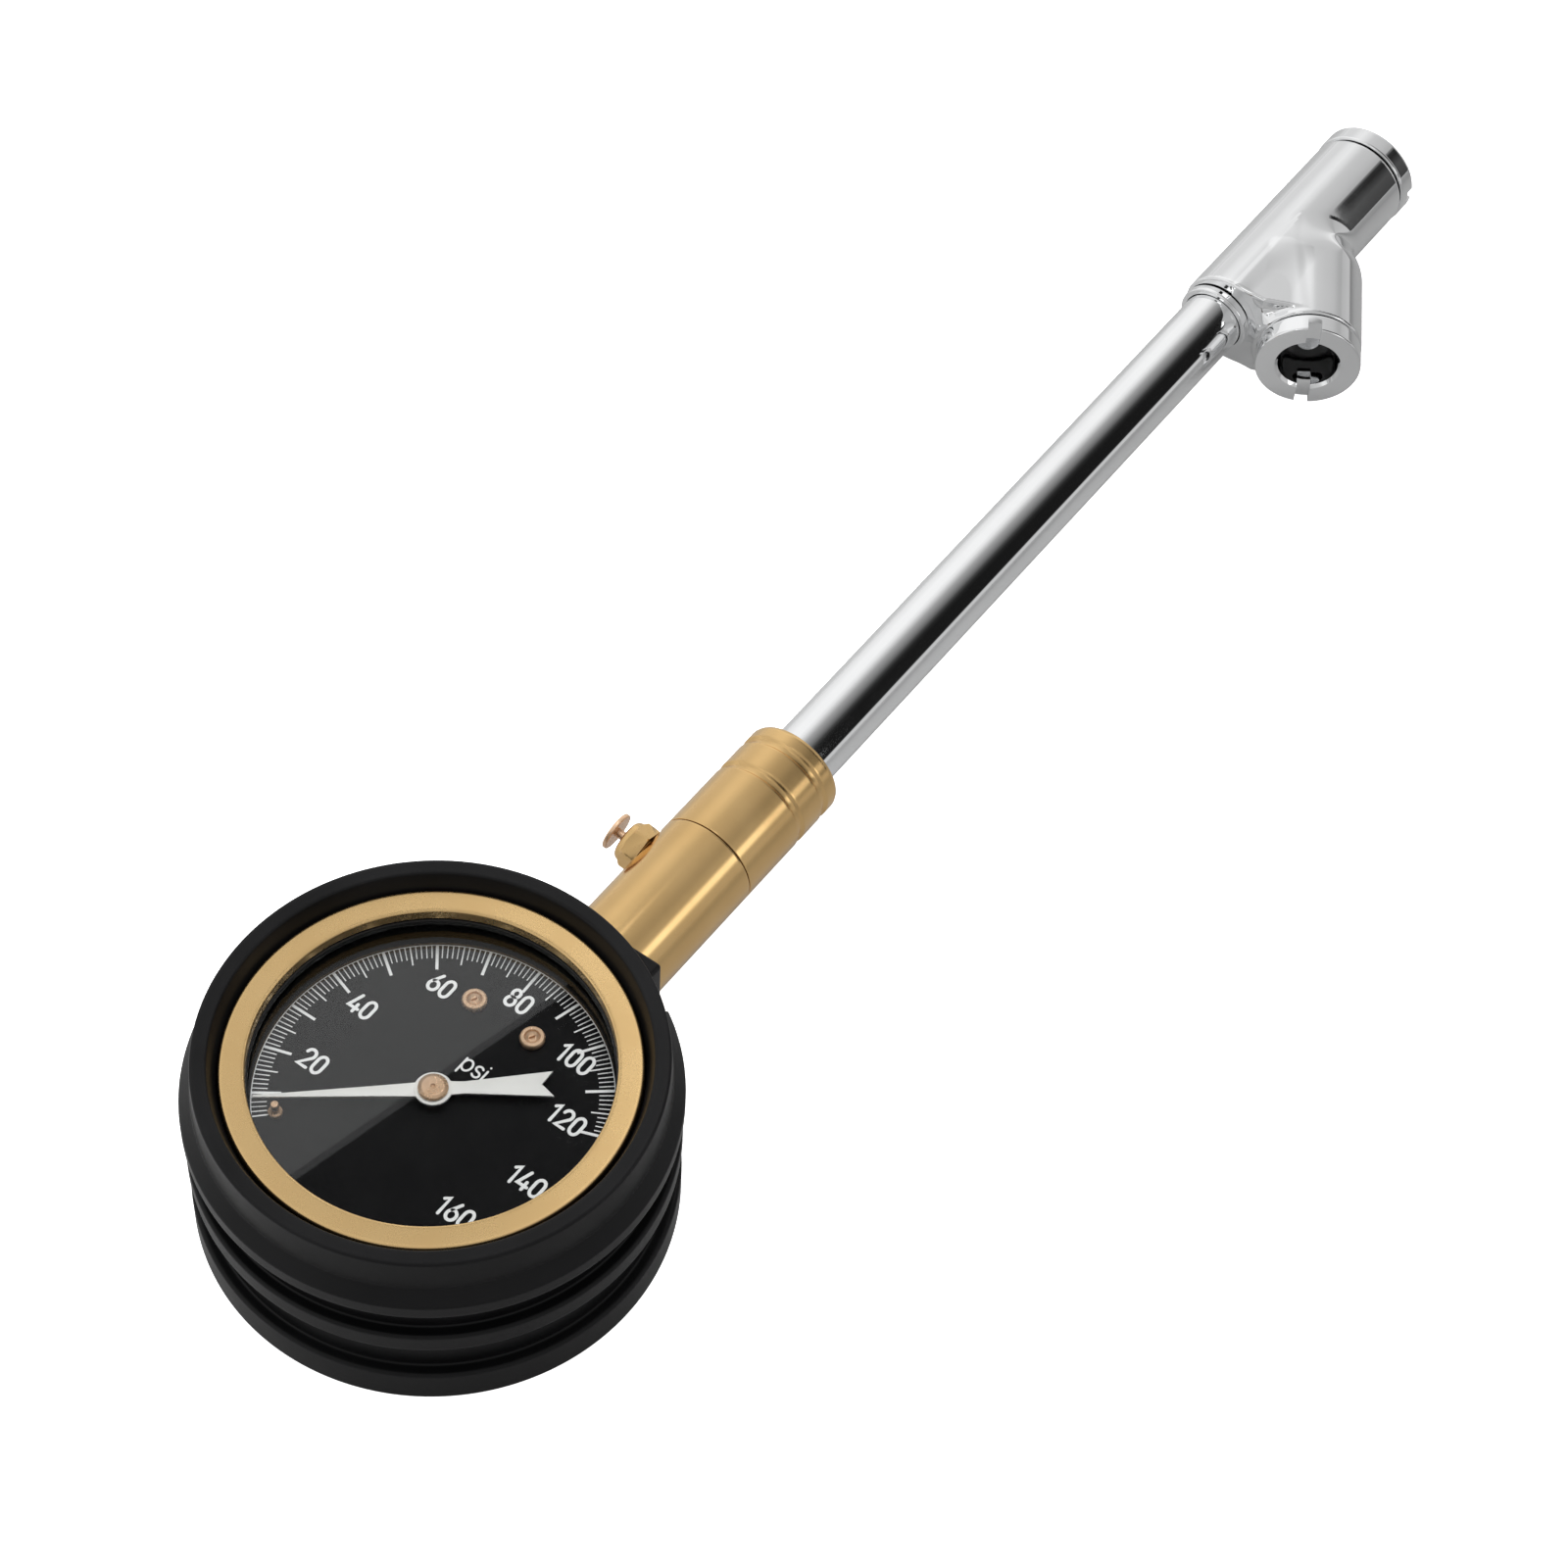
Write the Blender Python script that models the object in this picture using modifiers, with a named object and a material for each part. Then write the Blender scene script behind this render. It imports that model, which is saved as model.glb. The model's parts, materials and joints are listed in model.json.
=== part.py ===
"""Dial tyre pressure gauge with a rigid tube and a dual-foot air chuck.

A two-inch Bourdon gauge sits in a ribbed rubber boot. Its brass stem carries a push-button bleeder and,
past a hairline seam, a swivel sleeve that holds the chromed tube and the chuck with its two feet: one
straight ahead, one raked back. Units are metres. The origin is the middle of the boot's flat back, +Z
points out of the dial and +Y runs along the stem to the chuck.
"""

import math

import bmesh
import bpy
from mathutils import Matrix, Vector

MM = 0.001

# ---------------------------------------------------------------- clearances
SEAT_GAP = 0.25 * MM       # between a piece and what it rests on or is held by
RUNNING_GAP = 0.08 * MM    # radial, between a turning or sliding piece and its bore
OVERRUN = 1.0 * MM         # how far a cutter runs past the face it opens

# ---------------------------------------------------------------- gauge case
CASE_RADIUS = 26.2 * MM
CASE_WALL = 1.0 * MM
CASE_FLOOR = 0.9 * MM
CASE_DEPTH = 20.8 * MM
BOOT_FLOOR = 3.0 * MM
BEZEL_WALL = 0.55 * MM
BEZEL_SKIRT = 6.6 * MM
BEZEL_FLANGE = 1.6 * MM
BEZEL_FACE = 3.4 * MM          # width of the face round the window
BEZEL_EDGE = 0.35 * MM
GASKET_THICKNESS = 1.0 * MM
GASKET_PROUD = 0.2 * MM        # past the bezel's face, into the window
LENS_THICKNESS = 1.3 * MM
LENS_INSET = 0.3 * MM          # inside the case's rim

# ---------------------------------------------------------------- rubber boot
BOOT_WALL = 3.2 * MM           # round the bezel, at the bottom of the grooves
LIP_RISE = 2.1 * MM            # lip above the bezel's face
LIP_WIDTH = 2.1 * MM
LIP_FLARE = 1.1 * MM
LIP_SEAT = 0.8 * MM            # where the flare starts, below the bezel's face
TOP_RIB = (20.8 * MM, 25.4 * MM, 1.9 * MM)         # bottom, top, how far it stands out
TOP_RIB_WALL = (2.5 * MM, 0.3 * MM)                # upright part, and what stands out at its top
MIDDLE_RIB = (12.2 * MM, 15.7 * MM, 1.7 * MM)
BASE_RIB = (0.0 * MM, 5.8 * MM, 1.7 * MM)
RIB_EDGE = 0.35 * MM
PAD_HALF_WIDTH = 11.7 * MM     # flat-faced pad that the stem leaves through
PAD_REACH = 2.55 * MM          # past the bottom of the grooves
PAD_TOP_Z = 23.3 * MM
PAD_LIFT = 0.05 * MM           # above the boot's flat back
PAD_EDGE = 0.5 * MM
RIB_END_X = 16.6 * MM          # where the ribs stop, either side of the pad
RIB_STUB = 0.12 * MM           # what is left of them between there and the pad

# ---------------------------------------------------------------- dial and pointer
DIAL_DROP = 3.0 * MM           # dial's face below the lens
DIAL_THICKNESS = 0.6 * MM
DIAL_BORE = 1.5 * MM
DIAL_SCREW_XY = (4.8 * MM, 14.3 * MM)
DIAL_SCREW = (1.7 * MM, 0.8 * MM, 0.85 * MM, 5.0 * MM)      # head, its height, shank, its length
POINTER_REST = math.radians(-130.5)     # clockwise from +Y
POINTER_SWEEP = math.radians(270.0)
POINTER_TIP = (0.15 * MM, 1.95 * MM)    # half width, and how far inside the dial's rim
POINTER_OUTLINE = ((0.75, 8.0), (1.15, 0.0), (0.9, -4.0), (1.9, -15.4))     # half width, y in mm
POINTER_NOTCH_Y = -13.9 * MM
POINTER_THICKNESS = 0.3 * MM
POINTER_HUB_RADIUS = 2.5 * MM
POINTER_LIFT = 1.3 * MM                 # underside above the dial
POINTER_CAP = (2.0 * MM, 0.55 * MM)
BUSHING_RADIUS = 2.3 * MM
BUSHING_NECK = 1.1 * MM
STOP_PIN = (0.55 * MM, 2.5 * MM)
STOP_PIN_FLANGE = (0.95 * MM, 0.9 * MM)
STOP_PIN_INSET = 4.73 * MM              # inside the dial's rim
STOP_PIN_HEADING = math.radians(225.8)

# ---------------------------------------------------------------- movement
MODULE = 0.25 * MM
PINION_TEETH = 8
WHEEL_TEETH = 72               # as if the sector were a full wheel
SECTOR_TEETH = 9
TOOTH_HEIGHTS = (0.18 * MM, 0.30 * MM)              # above and below the pitch circle
TOOTH_HALF_WIDTHS = (0.18 * MM, 0.13 * MM, 0.05 * MM)     # at root, pitch circle and tip
SECTOR_PIVOT_HEADING = math.radians(231.0)
SECTOR_THICKNESS = 0.8 * MM
SECTOR_HUB_RADIUS = 1.7 * MM
SECTOR_WINDOW = (3.2 * MM, 6.9 * MM)
TAIL_ARM = 4.0 * MM
TAIL_REST = math.radians(215.2)
LINK_THICKNESS = 0.5 * MM
LINK_END_RADIUS = 1.4 * MM
LINK_HALF_WIDTH = 0.7 * MM
LINK_PIN_RADIUS = 0.4 * MM
LINK_SCREW_HEAD = (1.1 * MM, 0.4 * MM)
LINK_OPEN_PLAY = 0.35 * MM              # radial, where the closed chain is opened
PLATE_THICKNESS = 0.8 * MM
PLATE_MARGIN = 1.7 * MM
BACK_PLATE_Z = 6.0 * MM
PLATE_SPACING = 6.8 * MM
SECTOR_LIFT = 2.2 * MM                  # above the back plate
SHAFT_RADIUS = 0.7 * MM
JOURNAL_RADIUS = 0.42 * MM
COLLET = (1.0 * MM, 0.8 * MM)
PILLAR = (1.1 * MM, 0.6 * MM)
PILLARS_XY = ((3.6 * MM, 6.4 * MM), (2.0 * MM, -10.5 * MM))
MOVEMENT_SCREW_XY = (4.5 * MM, 10.2 * MM)
MOVEMENT_SCREW = (1.3 * MM, 0.7 * MM, 0.6 * MM, 1.9 * MM)
HAIRSPRING = (1.35 * MM, 5.0 * MM, 0.11 * MM, 4)        # inner and outer radius, wire, turns
HAIRSPRING_DROP = 1.2 * MM                              # below the front plate
HAIRSPRING_STUD = (0.4 * MM, 5.8 * MM)

# ---------------------------------------------------------------- Bourdon tube
BOURDON_RADIUS = 18.5 * MM
BOURDON_SECTION = (1.1 * MM, 2.5 * MM)          # half thickness, half depth
BOURDON_WALL = 0.35 * MM
BOURDON_Z = 9.6 * MM
BOURDON_START = math.radians(74.0)
BOURDON_PIVOT = math.radians(72.0)
BOURDON_END = math.radians(-151.0)
BOURDON_ROOM = 0.45 * MM                        # round the tube in the socket, for its flexing
TIP_HEADING = math.radians(-156.0)
TIP_HALF_SIZE = (1.35 * MM, 1.35 * MM, 2.75 * MM)
BOURDON_POCKET = 4.0 * MM                       # how far the pocket runs back past the root
TIP_TAB = 2.9 * MM                              # link's pin inside the tube's circle

# ---------------------------------------------------------------- socket
STEM_Z = 8.25 * MM
SOCKET_HALF_WIDTH = 6.8 * MM
SOCKET_START_Y = 12.15 * MM
SOCKET_INSET = 2.6 * MM                         # block's far face, inside the case's rim
SOCKET_TOP_Z = 12.9 * MM
TONGUE_START_Y = 8.0 * MM
DIAL_POST_RADIUS = 1.6 * MM
NECK_RADIUS = 3.8 * MM
NECK_REACH = 7.2 * MM                           # past the case
NECK_BORE = 1.0 * MM
CROSS_BORE = (0.8 * MM, 17.7 * MM, 9.2 * MM)            # radius, y, z
CASE_SCREW_XY = (3.6 * MM, -3.0 * MM)           # y from the block's far face
CASE_SCREW = (1.5 * MM, 0.75 * MM, 3.2 * MM)            # head, shank, length

# ---------------------------------------------------------------- stem and swivel
STEM_RADIUS = 7.5 * MM
STEM_STAND_OFF = 0.4 * MM                       # from the case
STEM_BORE = 1.3 * MM
STEM_GASKET = (1.5 * MM, 1.0 * MM)
STEM_EDGE = 0.3 * MM
STEM_HOLE_GAP = 0.3 * MM
SEAM_Y = 58.7 * MM
SEAM_GAP = 0.15 * MM
SPIGOT_RADIUS = 4.9 * MM
SPIGOT_LENGTH = 8.8 * MM
SLEEVE_END_Y = 79.5 * MM
SLEEVE_NOSE = ((0.0, 0.6), (0.2, 0.2), (0.6, 0.0))     # in from the rim, back from the end, mm
SLEEVE_GROOVES_Y = (70.8 * MM, 76.3 * MM)
SLEEVE_GROOVE = (1.5 * MM, 0.45 * MM)
SWIVEL_SEAL = (0.36 * MM, 2.4 * MM)                     # cord radius, distance past the seam
SEAL_GROOVE = (1.0 * MM, 0.8 * MM)
SWIVEL_CLIP = (0.8 * MM, 4.7 * MM)                      # thickness, distance past the seam
CLIP_RADII = (4.2 * MM, 5.6 * MM)
CLIP_HALF_OPENING = math.radians(22.0)

# ---------------------------------------------------------------- check valve
CHECK_CHAMBER = (2.7 * MM, 10.5 * MM)
CHECK_SEAT = (2.1 * MM, 0.9 * MM)                       # thickness, hole
CHECK_POPPET = (2.3 * MM, 1.7 * MM)
CHECK_TRAVEL = 1.5 * MM
CHECK_SPRING = (1.6 * MM, 0.25 * MM, 4)                 # coil, wire, turns

# ---------------------------------------------------------------- bleeder, from the stem's axis outwards
BLEEDER_Y = 53.9 * MM
BLEEDER_TILT = math.radians(10.0)                       # above -X, towards the dial's side
BLEEDER_FLAT = (6.9 * MM, 3.9 * MM)
BLEEDER_POCKET = (2.25 * MM, 1.9 * MM)
BLEEDER_PORT = 0.8 * MM
BLEEDER_ACROSS_FLATS = 6.2 * MM
BLEEDER_HEX_TOP = 9.4 * MM
BLEEDER_DOME = (10.5 * MM, 2.35 * MM)
BLEEDER_STUB = (2.0 * MM, 3.1 * MM)
BLEEDER_CHAMBER = (1.5 * MM, 7.4 * MM)
BLEEDER_VENT = 0.9 * MM
BLEEDER_BUTTON = (2.85 * MM, 11.85 * MM, 12.5 * MM)
BLEEDER_ROD = 0.65 * MM
BLEEDER_PLUG = (1.2 * MM, 5.55 * MM, 6.25 * MM)
BLEEDER_SEAL = (1.4 * MM, 0.7 * MM)
BLEEDER_TRAVEL = 1.0 * MM
BLEEDER_SPRING = (1.0 * MM, 0.13 * MM, 3)

# ---------------------------------------------------------------- tube and chuck
TUBE_RADIUS = 4.9 * MM
TUBE_WALL = 0.9 * MM
TUBE_IN_SLEEVE = 10.4 * MM
TUBE_IN_CHUCK = 5.4 * MM
COLLAR = (5.8 * MM, 1.3 * MM)
CHUCK_START_Y = 190.5 * MM
CHUCK_LENGTH = 42.05 * MM                               # to the straight foot's face
BARREL_RADIUS = 7.95 * MM
BARREL_OFFSET_X = 1.85 * MM
BARREL_EDGE = 0.4 * MM
BRANCH_RADIUS = 8.2 * MM
BRANCH_FACE = (16.67 * MM, -0.46 * MM)                  # centre of its face: x, and y past the chuck's start
BRANCH_HEADING = math.radians(149.0)                    # clockwise from +Y
BRANCH_DOME_DEPTH = 17.4 * MM                           # dome's centre behind the branch's face
WEB_HALF_THICKNESS = 7.8 * MM
WEB_LENGTH = 22.5 * MM                                  # along the barrel
WEB_START_X = 7.2 * MM
WEB_SETBACK = 1.3 * MM                                  # behind the branch's ring
GALLERY_RADIUS = 1.6 * MM
CROSS_GALLERY = (1.2 * MM, 27.0 * MM)                   # radius, depth behind the branch's face

# ---------------------------------------------------------------- each foot, inwards from its face
RING_FLANGE = (8.1 * MM, 3.2 * MM)
RING_SPIGOT = (5.9 * MM, 3.0 * MM)
RING_SEAM = 0.3 * MM
RING_EDGE = 0.35 * MM
RING_SLOT = (2.1 * MM, 1.5 * MM)
MOUTH = (4.6 * MM, 0.5 * MM)                            # radius, entry chamfer
SEAL = (2.4 * MM, 2.3 * MM, 0.35 * MM)                  # thickness, hole, rise of its boss in the mouth
PIN_ROD = (1.9 * MM, 0.8 * MM)                          # radius, rise above the seal
PIN_FLANGE = (3.0 * MM, 1.5 * MM)
PIN_TAIL = (1.3 * MM, 1.2 * MM)
PIN_TRAVEL = 1.5 * MM
FOOT_CHAMBER = (3.4 * MM, 17.5 * MM)
FOOT_SPRING = (2.2 * MM, 0.3 * MM, 3)                   # coil, wire, turns

# ---------------------------------------------------------------- sizes that follow
CASE_Z = BOOT_FLOOR + SEAT_GAP
CASE_FLOOR_Z = CASE_Z + CASE_FLOOR
CASE_RIM_Z = CASE_Z + CASE_DEPTH
SOCKET_END_Y = CASE_RADIUS - SOCKET_INSET
NECK_END_Y = CASE_RADIUS + NECK_REACH
STEM_START_Y = CASE_RADIUS + STEM_STAND_OFF
LENS_Z = CASE_RIM_Z + SEAT_GAP
GASKET_Z = LENS_Z + LENS_THICKNESS + SEAT_GAP
FLANGE_Z = GASKET_Z + GASKET_THICKNESS + SEAT_GAP
BEZEL_TOP_Z = FLANGE_Z + BEZEL_FLANGE
BEZEL_BORE = CASE_RADIUS + SEAT_GAP
BEZEL_RADIUS = BEZEL_BORE + BEZEL_WALL
WINDOW_RADIUS = BEZEL_RADIUS - BEZEL_FACE
BEZEL_SKIRT_Z = FLANGE_Z - BEZEL_SKIRT
BOOT_BORE = BEZEL_RADIUS + SEAT_GAP
GROOVE_RADIUS = BOOT_BORE + BOOT_WALL
PAD_FACE_Y = GROOVE_RADIUS + PAD_REACH
LIP_TOP_Z = BEZEL_TOP_Z + LIP_RISE
DIAL_RADIUS = CASE_RADIUS - CASE_WALL - SEAT_GAP
DIAL_TOP_Z = LENS_Z - DIAL_DROP
DIAL_Z = DIAL_TOP_Z - DIAL_THICKNESS
POINTER_Z = DIAL_TOP_Z + POINTER_LIFT
SECTOR_Z = BACK_PLATE_Z + PLATE_THICKNESS + SECTOR_LIFT
LINK_Z = SECTOR_Z + SECTOR_THICKNESS + SEAT_GAP
FRONT_PLATE_Z = BACK_PLATE_Z + PLATE_THICKNESS + PLATE_SPACING
HAIRSPRING_Z = FRONT_PLATE_Z - HAIRSPRING_DROP
PINION_PITCH = MODULE * PINION_TEETH / 2
WHEEL_PITCH = MODULE * WHEEL_TEETH / 2
TIP_PIN_CIRCLE = BOURDON_RADIUS - TIP_TAB
SPIGOT_END_Y = SEAM_Y + SPIGOT_LENGTH
SLEEVE_START_Y = SEAM_Y + SEAM_GAP
SLEEVE_BORE = SPIGOT_RADIUS + RUNNING_GAP
CHECK_FLOOR_Y = SPIGOT_END_Y - CHECK_CHAMBER[1]
TUBE_START_Y = SLEEVE_END_Y - TUBE_IN_SLEEVE
TUBE_END_Y = CHUCK_START_Y + TUBE_IN_CHUCK
CHUCK_FACE_Y = CHUCK_START_Y + CHUCK_LENGTH
BRANCH_FACE_X, BRANCH_FACE_Y = BRANCH_FACE[0], CHUCK_START_Y + BRANCH_FACE[1]
NECK_POCKET_Y = NECK_END_Y + STEM_GASKET[1] + 2 * SEAT_GAP
BLEEDER_SEAT = BLEEDER_FLAT[0] + SEAT_GAP
FOOT_SEAT = -(RING_FLANGE[1] + RING_SPIGOT[1])
SEAL_TOP = FOOT_SEAT - SEAT_GAP
SEAL_BASE = SEAL_TOP - SEAL[0]
FOOT_SHOULDER = SEAL_BASE - SEAT_GAP
FOOT_BODY_END = -(RING_FLANGE[1] + RING_SEAM)

PARTS = bpy.data.collections.new("tyre_pressure_gauge")
CUTTERS = bpy.data.collections.new("cutters")
MATERIALS = {}


# ================================================================ helpers
def polar(radius, angle, centre=(0.0, 0.0)):
    return (centre[0] + radius * math.cos(angle), centre[1] + radius * math.sin(angle))


def clear_scene():
    for old in list(bpy.data.objects):
        bpy.data.objects.remove(old, do_unlink=True)
    for collection in (PARTS, CUTTERS):
        bpy.context.scene.collection.children.link(collection)


def make_material(name, colour, roughness, metallic):
    made = bpy.data.materials.new(name)
    made.use_nodes = True
    shader = made.node_tree.nodes["Principled BSDF"]
    shader.inputs["Base Color"].default_value = (*colour, 1.0)
    shader.inputs["Roughness"].default_value = roughness
    shader.inputs["Metallic"].default_value = metallic
    MATERIALS[name] = made


def make_materials():
    make_material("black_rubber", (0.012, 0.012, 0.013), 0.55, 0.0)
    make_material("satin_brass", (0.62, 0.43, 0.20), 0.28, 1.0)
    make_material("bright_brass", (0.76, 0.56, 0.29), 0.22, 1.0)
    make_material("copper_brass", (0.60, 0.36, 0.20), 0.30, 1.0)
    make_material("chrome", (0.80, 0.81, 0.82), 0.08, 1.0)
    make_material("steel", (0.55, 0.56, 0.57), 0.30, 1.0)
    make_material("clear_lens", (0.90, 0.92, 0.93), 0.03, 0.0)
    make_material("dial_black", (0.010, 0.010, 0.011), 0.45, 0.0)
    make_material("pointer_white", (0.78, 0.77, 0.73), 0.40, 0.0)


def frame_at(name, location, rotation=(0.0, 0.0, 0.0), parent=None):
    empty = bpy.data.objects.new(name, None)
    PARTS.objects.link(empty)
    empty.location = location
    empty.rotation_euler = rotation
    empty.parent = parent
    return empty


def adopt(obj, mat, parent):
    """Files an object among the parts, or among the cutters when it has no material."""
    for collection in obj.users_collection:
        collection.objects.unlink(obj)
    (PARTS if mat else CUTTERS).objects.link(obj)
    if mat:
        obj.data.materials.append(MATERIALS[mat])
    else:
        obj.hide_render = True
        obj.display_type = "WIRE"
    obj.parent = parent
    return obj


def from_bmesh(name, bm, mat=None, parent=None):
    bmesh.ops.recalc_face_normals(bm, faces=bm.faces)
    mesh = bpy.data.meshes.new(name)
    bm.to_mesh(mesh)
    bm.free()
    mesh.shade_smooth()
    mesh.set_sharp_from_angle(angle=math.radians(35))
    return adopt(bpy.data.objects.new(name, mesh), mat, parent)


def frozen(obj, mat, parent):
    """Replaces an object by the mesh that it evaluates to, with its seams welded."""
    bpy.context.view_layer.update()
    mesh = bpy.data.meshes.new_from_object(obj.evaluated_get(bpy.context.evaluated_depsgraph_get()))
    name = obj.name
    bpy.data.objects.remove(obj, do_unlink=True)
    bm = bmesh.new()
    bm.from_mesh(mesh)
    bpy.data.meshes.remove(mesh)
    bmesh.ops.remove_doubles(bm, verts=bm.verts, dist=0.002 * MM)
    return from_bmesh(name, bm, mat, parent)


def turned(name, profile, mat=None, parent=None, steps=24):
    """Turns (radius, height) points round local Z; a profile clear of the axis closes into a ring."""
    edges = [(i, i + 1) for i in range(len(profile) - 1)]
    if profile[0][0] > 0 and profile[-1][0] > 0:
        edges.append((len(profile) - 1, 0))
    mesh = bpy.data.meshes.new(name)
    mesh.from_pydata([(radius, 0, height) for radius, height in profile], edges, [])
    obj = bpy.data.objects.new(name, mesh)
    PARTS.objects.link(obj)
    screw = obj.modifiers.new("turn", "SCREW")
    screw.steps = steps
    screw.render_steps = steps
    screw.use_merge_vertices = True
    screw.merge_threshold = 0.001 * MM
    return frozen(obj, mat, parent)


def cylinder(name, radius, low, high, mat=None, parent=None, xy=(0.0, 0.0), sides=24):
    bm = bmesh.new()
    bmesh.ops.create_cone(bm, cap_ends=True, segments=sides, radius1=radius, radius2=radius, depth=high - low)
    bmesh.ops.translate(bm, verts=bm.verts, vec=(*xy, (low + high) / 2))
    return from_bmesh(name, bm, mat, parent)


def box(name, low, high, mat=None, parent=None, bevel=0.0):
    bm = bmesh.new()
    bmesh.ops.create_cube(bm, size=1.0)
    bmesh.ops.scale(bm, verts=bm.verts, vec=Vector(high) - Vector(low))
    bmesh.ops.translate(bm, verts=bm.verts, vec=(Vector(high) + Vector(low)) / 2)
    if bevel:
        bmesh.ops.bevel(bm, geom=bm.edges, offset=bevel, segments=2, affect="EDGES", profile=0.5)
    return from_bmesh(name, bm, mat, parent)


def plate(name, outlines, low, high, mat=None, parent=None):
    """Fills flat outlines, the first the edge and the rest holes, between two heights."""
    curve = bpy.data.curves.new(name, "CURVE")
    curve.dimensions = "2D"
    curve.fill_mode = "BOTH"
    curve.extrude = (high - low) / 2
    for outline in outlines:
        spline = curve.splines.new("POLY")
        spline.points.add(len(outline) - 1)
        for point, (x, y) in zip(spline.points, outline):
            point.co = (x, y, 0, 1)
        spline.use_cyclic_u = True
    obj = bpy.data.objects.new(name, curve)
    PARTS.objects.link(obj)
    flat = frozen(obj, mat, parent)
    flat.data.transform(Matrix.Translation((0, 0, (low + high) / 2)))
    return flat


def wire(name, points, radius, mat, parent=None):
    curve = bpy.data.curves.new(name, "CURVE")
    curve.dimensions = "3D"
    curve.bevel_depth = radius
    curve.bevel_resolution = 1
    curve.use_fill_caps = True
    spline = curve.splines.new("POLY")
    spline.points.add(len(points) - 1)
    for point, co in zip(spline.points, points):
        point.co = (*co, 1)
    obj = bpy.data.objects.new(name, curve)
    PARTS.objects.link(obj)
    return frozen(obj, mat, parent)


def coil(name, radius, wire_radius, turns, low, high, mat, parent):
    """A compression spring whose wire stays between two heights."""
    low, high = low + wire_radius, high - wire_radius
    count = 9 * turns
    points = []
    for i in range(count + 1):
        x, y = polar(radius, math.tau * i / 9)
        points.append((x, y, low + (high - low) * i / count))
    print(name, "gap between turns, mm:", round(((high - low) / turns - 2 * wire_radius) / MM, 2))
    return wire(name, points, wire_radius, mat, parent)


def boolean(obj, other, operation, solver="EXACT"):
    modifier = obj.modifiers.new(other.name, "BOOLEAN")
    modifier.operation = operation
    modifier.solver = solver
    modifier.object = other


def cut(obj, *tools, solver="EXACT"):
    for tool in tools:
        boolean(obj, tool, "DIFFERENCE", solver)


def join(obj, *pieces, solver="EXACT"):
    for piece in pieces:
        boolean(obj, piece, "UNION", solver)


def circle(radius, centre=(0.0, 0.0), sides=16):
    return [polar(radius, math.tau * i / sides, centre) for i in range(sides)]


def hull(points):
    """Convex outline round a set of points."""
    points = sorted(set(points))
    outline = []
    for run in (points, points[::-1]):
        start = len(outline)
        for point in run:
            while len(outline) - start >= 2 and turn(outline[-2], outline[-1], point) <= 0:
                outline.pop()
            outline.append(point)
        outline.pop()
    return outline


def turn(a, b, c):
    return (b[0] - a[0]) * (c[1] - a[1]) - (b[1] - a[1]) * (c[0] - a[0])


def toothed_arc(pitch, first_heading, count, spacing):
    """Outline points of straight-flanked teeth, anticlockwise."""
    root_half, pitch_half, tip_half = TOOTH_HALF_WIDTHS
    root, tip = pitch - TOOTH_HEIGHTS[1], pitch + TOOTH_HEIGHTS[0]
    flank = ((root, root_half), (pitch, pitch_half), (tip, tip_half))
    points = []
    for i in range(count):
        heading = first_heading + spacing * i
        points += [polar(radius, heading - half / radius) for radius, half in flank]
        points += [polar(radius, heading + half / radius) for radius, half in reversed(flank)]
    return points


# ================================================================ gauge case, boot and window
def rib_profile(rib):
    bottom, top, proud = rib
    radius = GROOVE_RADIUS + proud
    return [(GROOVE_RADIUS, bottom), (radius - RIB_EDGE, bottom), (radius, bottom + RIB_EDGE),
            (radius, top - RIB_EDGE), (radius - RIB_EDGE, top), (GROOVE_RADIUS, top)]


def rubber_boot(stem):
    top_bottom, top_top, top_proud = TOP_RIB
    top_radius = GROOVE_RADIUS + top_proud
    upright, top_foot = TOP_RIB_WALL
    inner_rim = BOOT_BORE + LIP_FLARE
    outer_rim = inner_rim + LIP_WIDTH
    profile = [(0.0, 0.0)] + rib_profile(BASE_RIB)[1:] + rib_profile(MIDDLE_RIB)
    profile += [(GROOVE_RADIUS, top_bottom), (top_radius - RIB_EDGE, top_bottom),
                (top_radius, top_bottom + RIB_EDGE), (top_radius, top_bottom + upright),
                (GROOVE_RADIUS + top_foot, top_top), (outer_rim, LIP_TOP_Z - RIB_EDGE),
                (outer_rim - RIB_EDGE, LIP_TOP_Z), (inner_rim + RIB_EDGE, LIP_TOP_Z),
                (inner_rim, LIP_TOP_Z - RIB_EDGE), (BOOT_BORE, BEZEL_TOP_Z - LIP_SEAT),
                (BOOT_BORE, BEZEL_SKIRT_Z - SEAT_GAP), (CASE_RADIUS + SEAT_GAP, BEZEL_SKIRT_Z - SEAT_GAP),
                (CASE_RADIUS + SEAT_GAP, BOOT_FLOOR), (0.0, BOOT_FLOOR)]
    boot = turned("rubber_boot", profile, "black_rubber", steps=44)
    gap = box("boot_rib_gap", (-RIB_END_X, 0, -OVERRUN), (RIB_END_X, PAD_FACE_Y + OVERRUN, top_top))
    cut(gap, cylinder("boot_wall_kept", GROOVE_RADIUS + RIB_STUB, -2 * OVERRUN, 2 * top_top, sides=44))
    pad = box("boot_pad", (-PAD_HALF_WIDTH, BOOT_BORE + SEAT_GAP, PAD_LIFT),
              (PAD_HALF_WIDTH, PAD_FACE_Y, PAD_TOP_Z), bevel=PAD_EDGE)
    hole = STEM_RADIUS + STEM_HOLE_GAP
    arch = [polar(hole, math.pi + math.pi * i / 14) for i in range(15)]
    arch += [(hole, STEM_Z + OVERRUN), (-hole, STEM_Z + OVERRUN)]
    start = math.sqrt((CASE_RADIUS + SEAT_GAP) ** 2 - hole ** 2) - SEAT_GAP / 2
    way = plate("boot_stem_way", [arch], start, PAD_FACE_Y + OVERRUN, parent=stem)
    cut(boot, gap)
    join(boot, pad)
    cut(boot, way)


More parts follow.
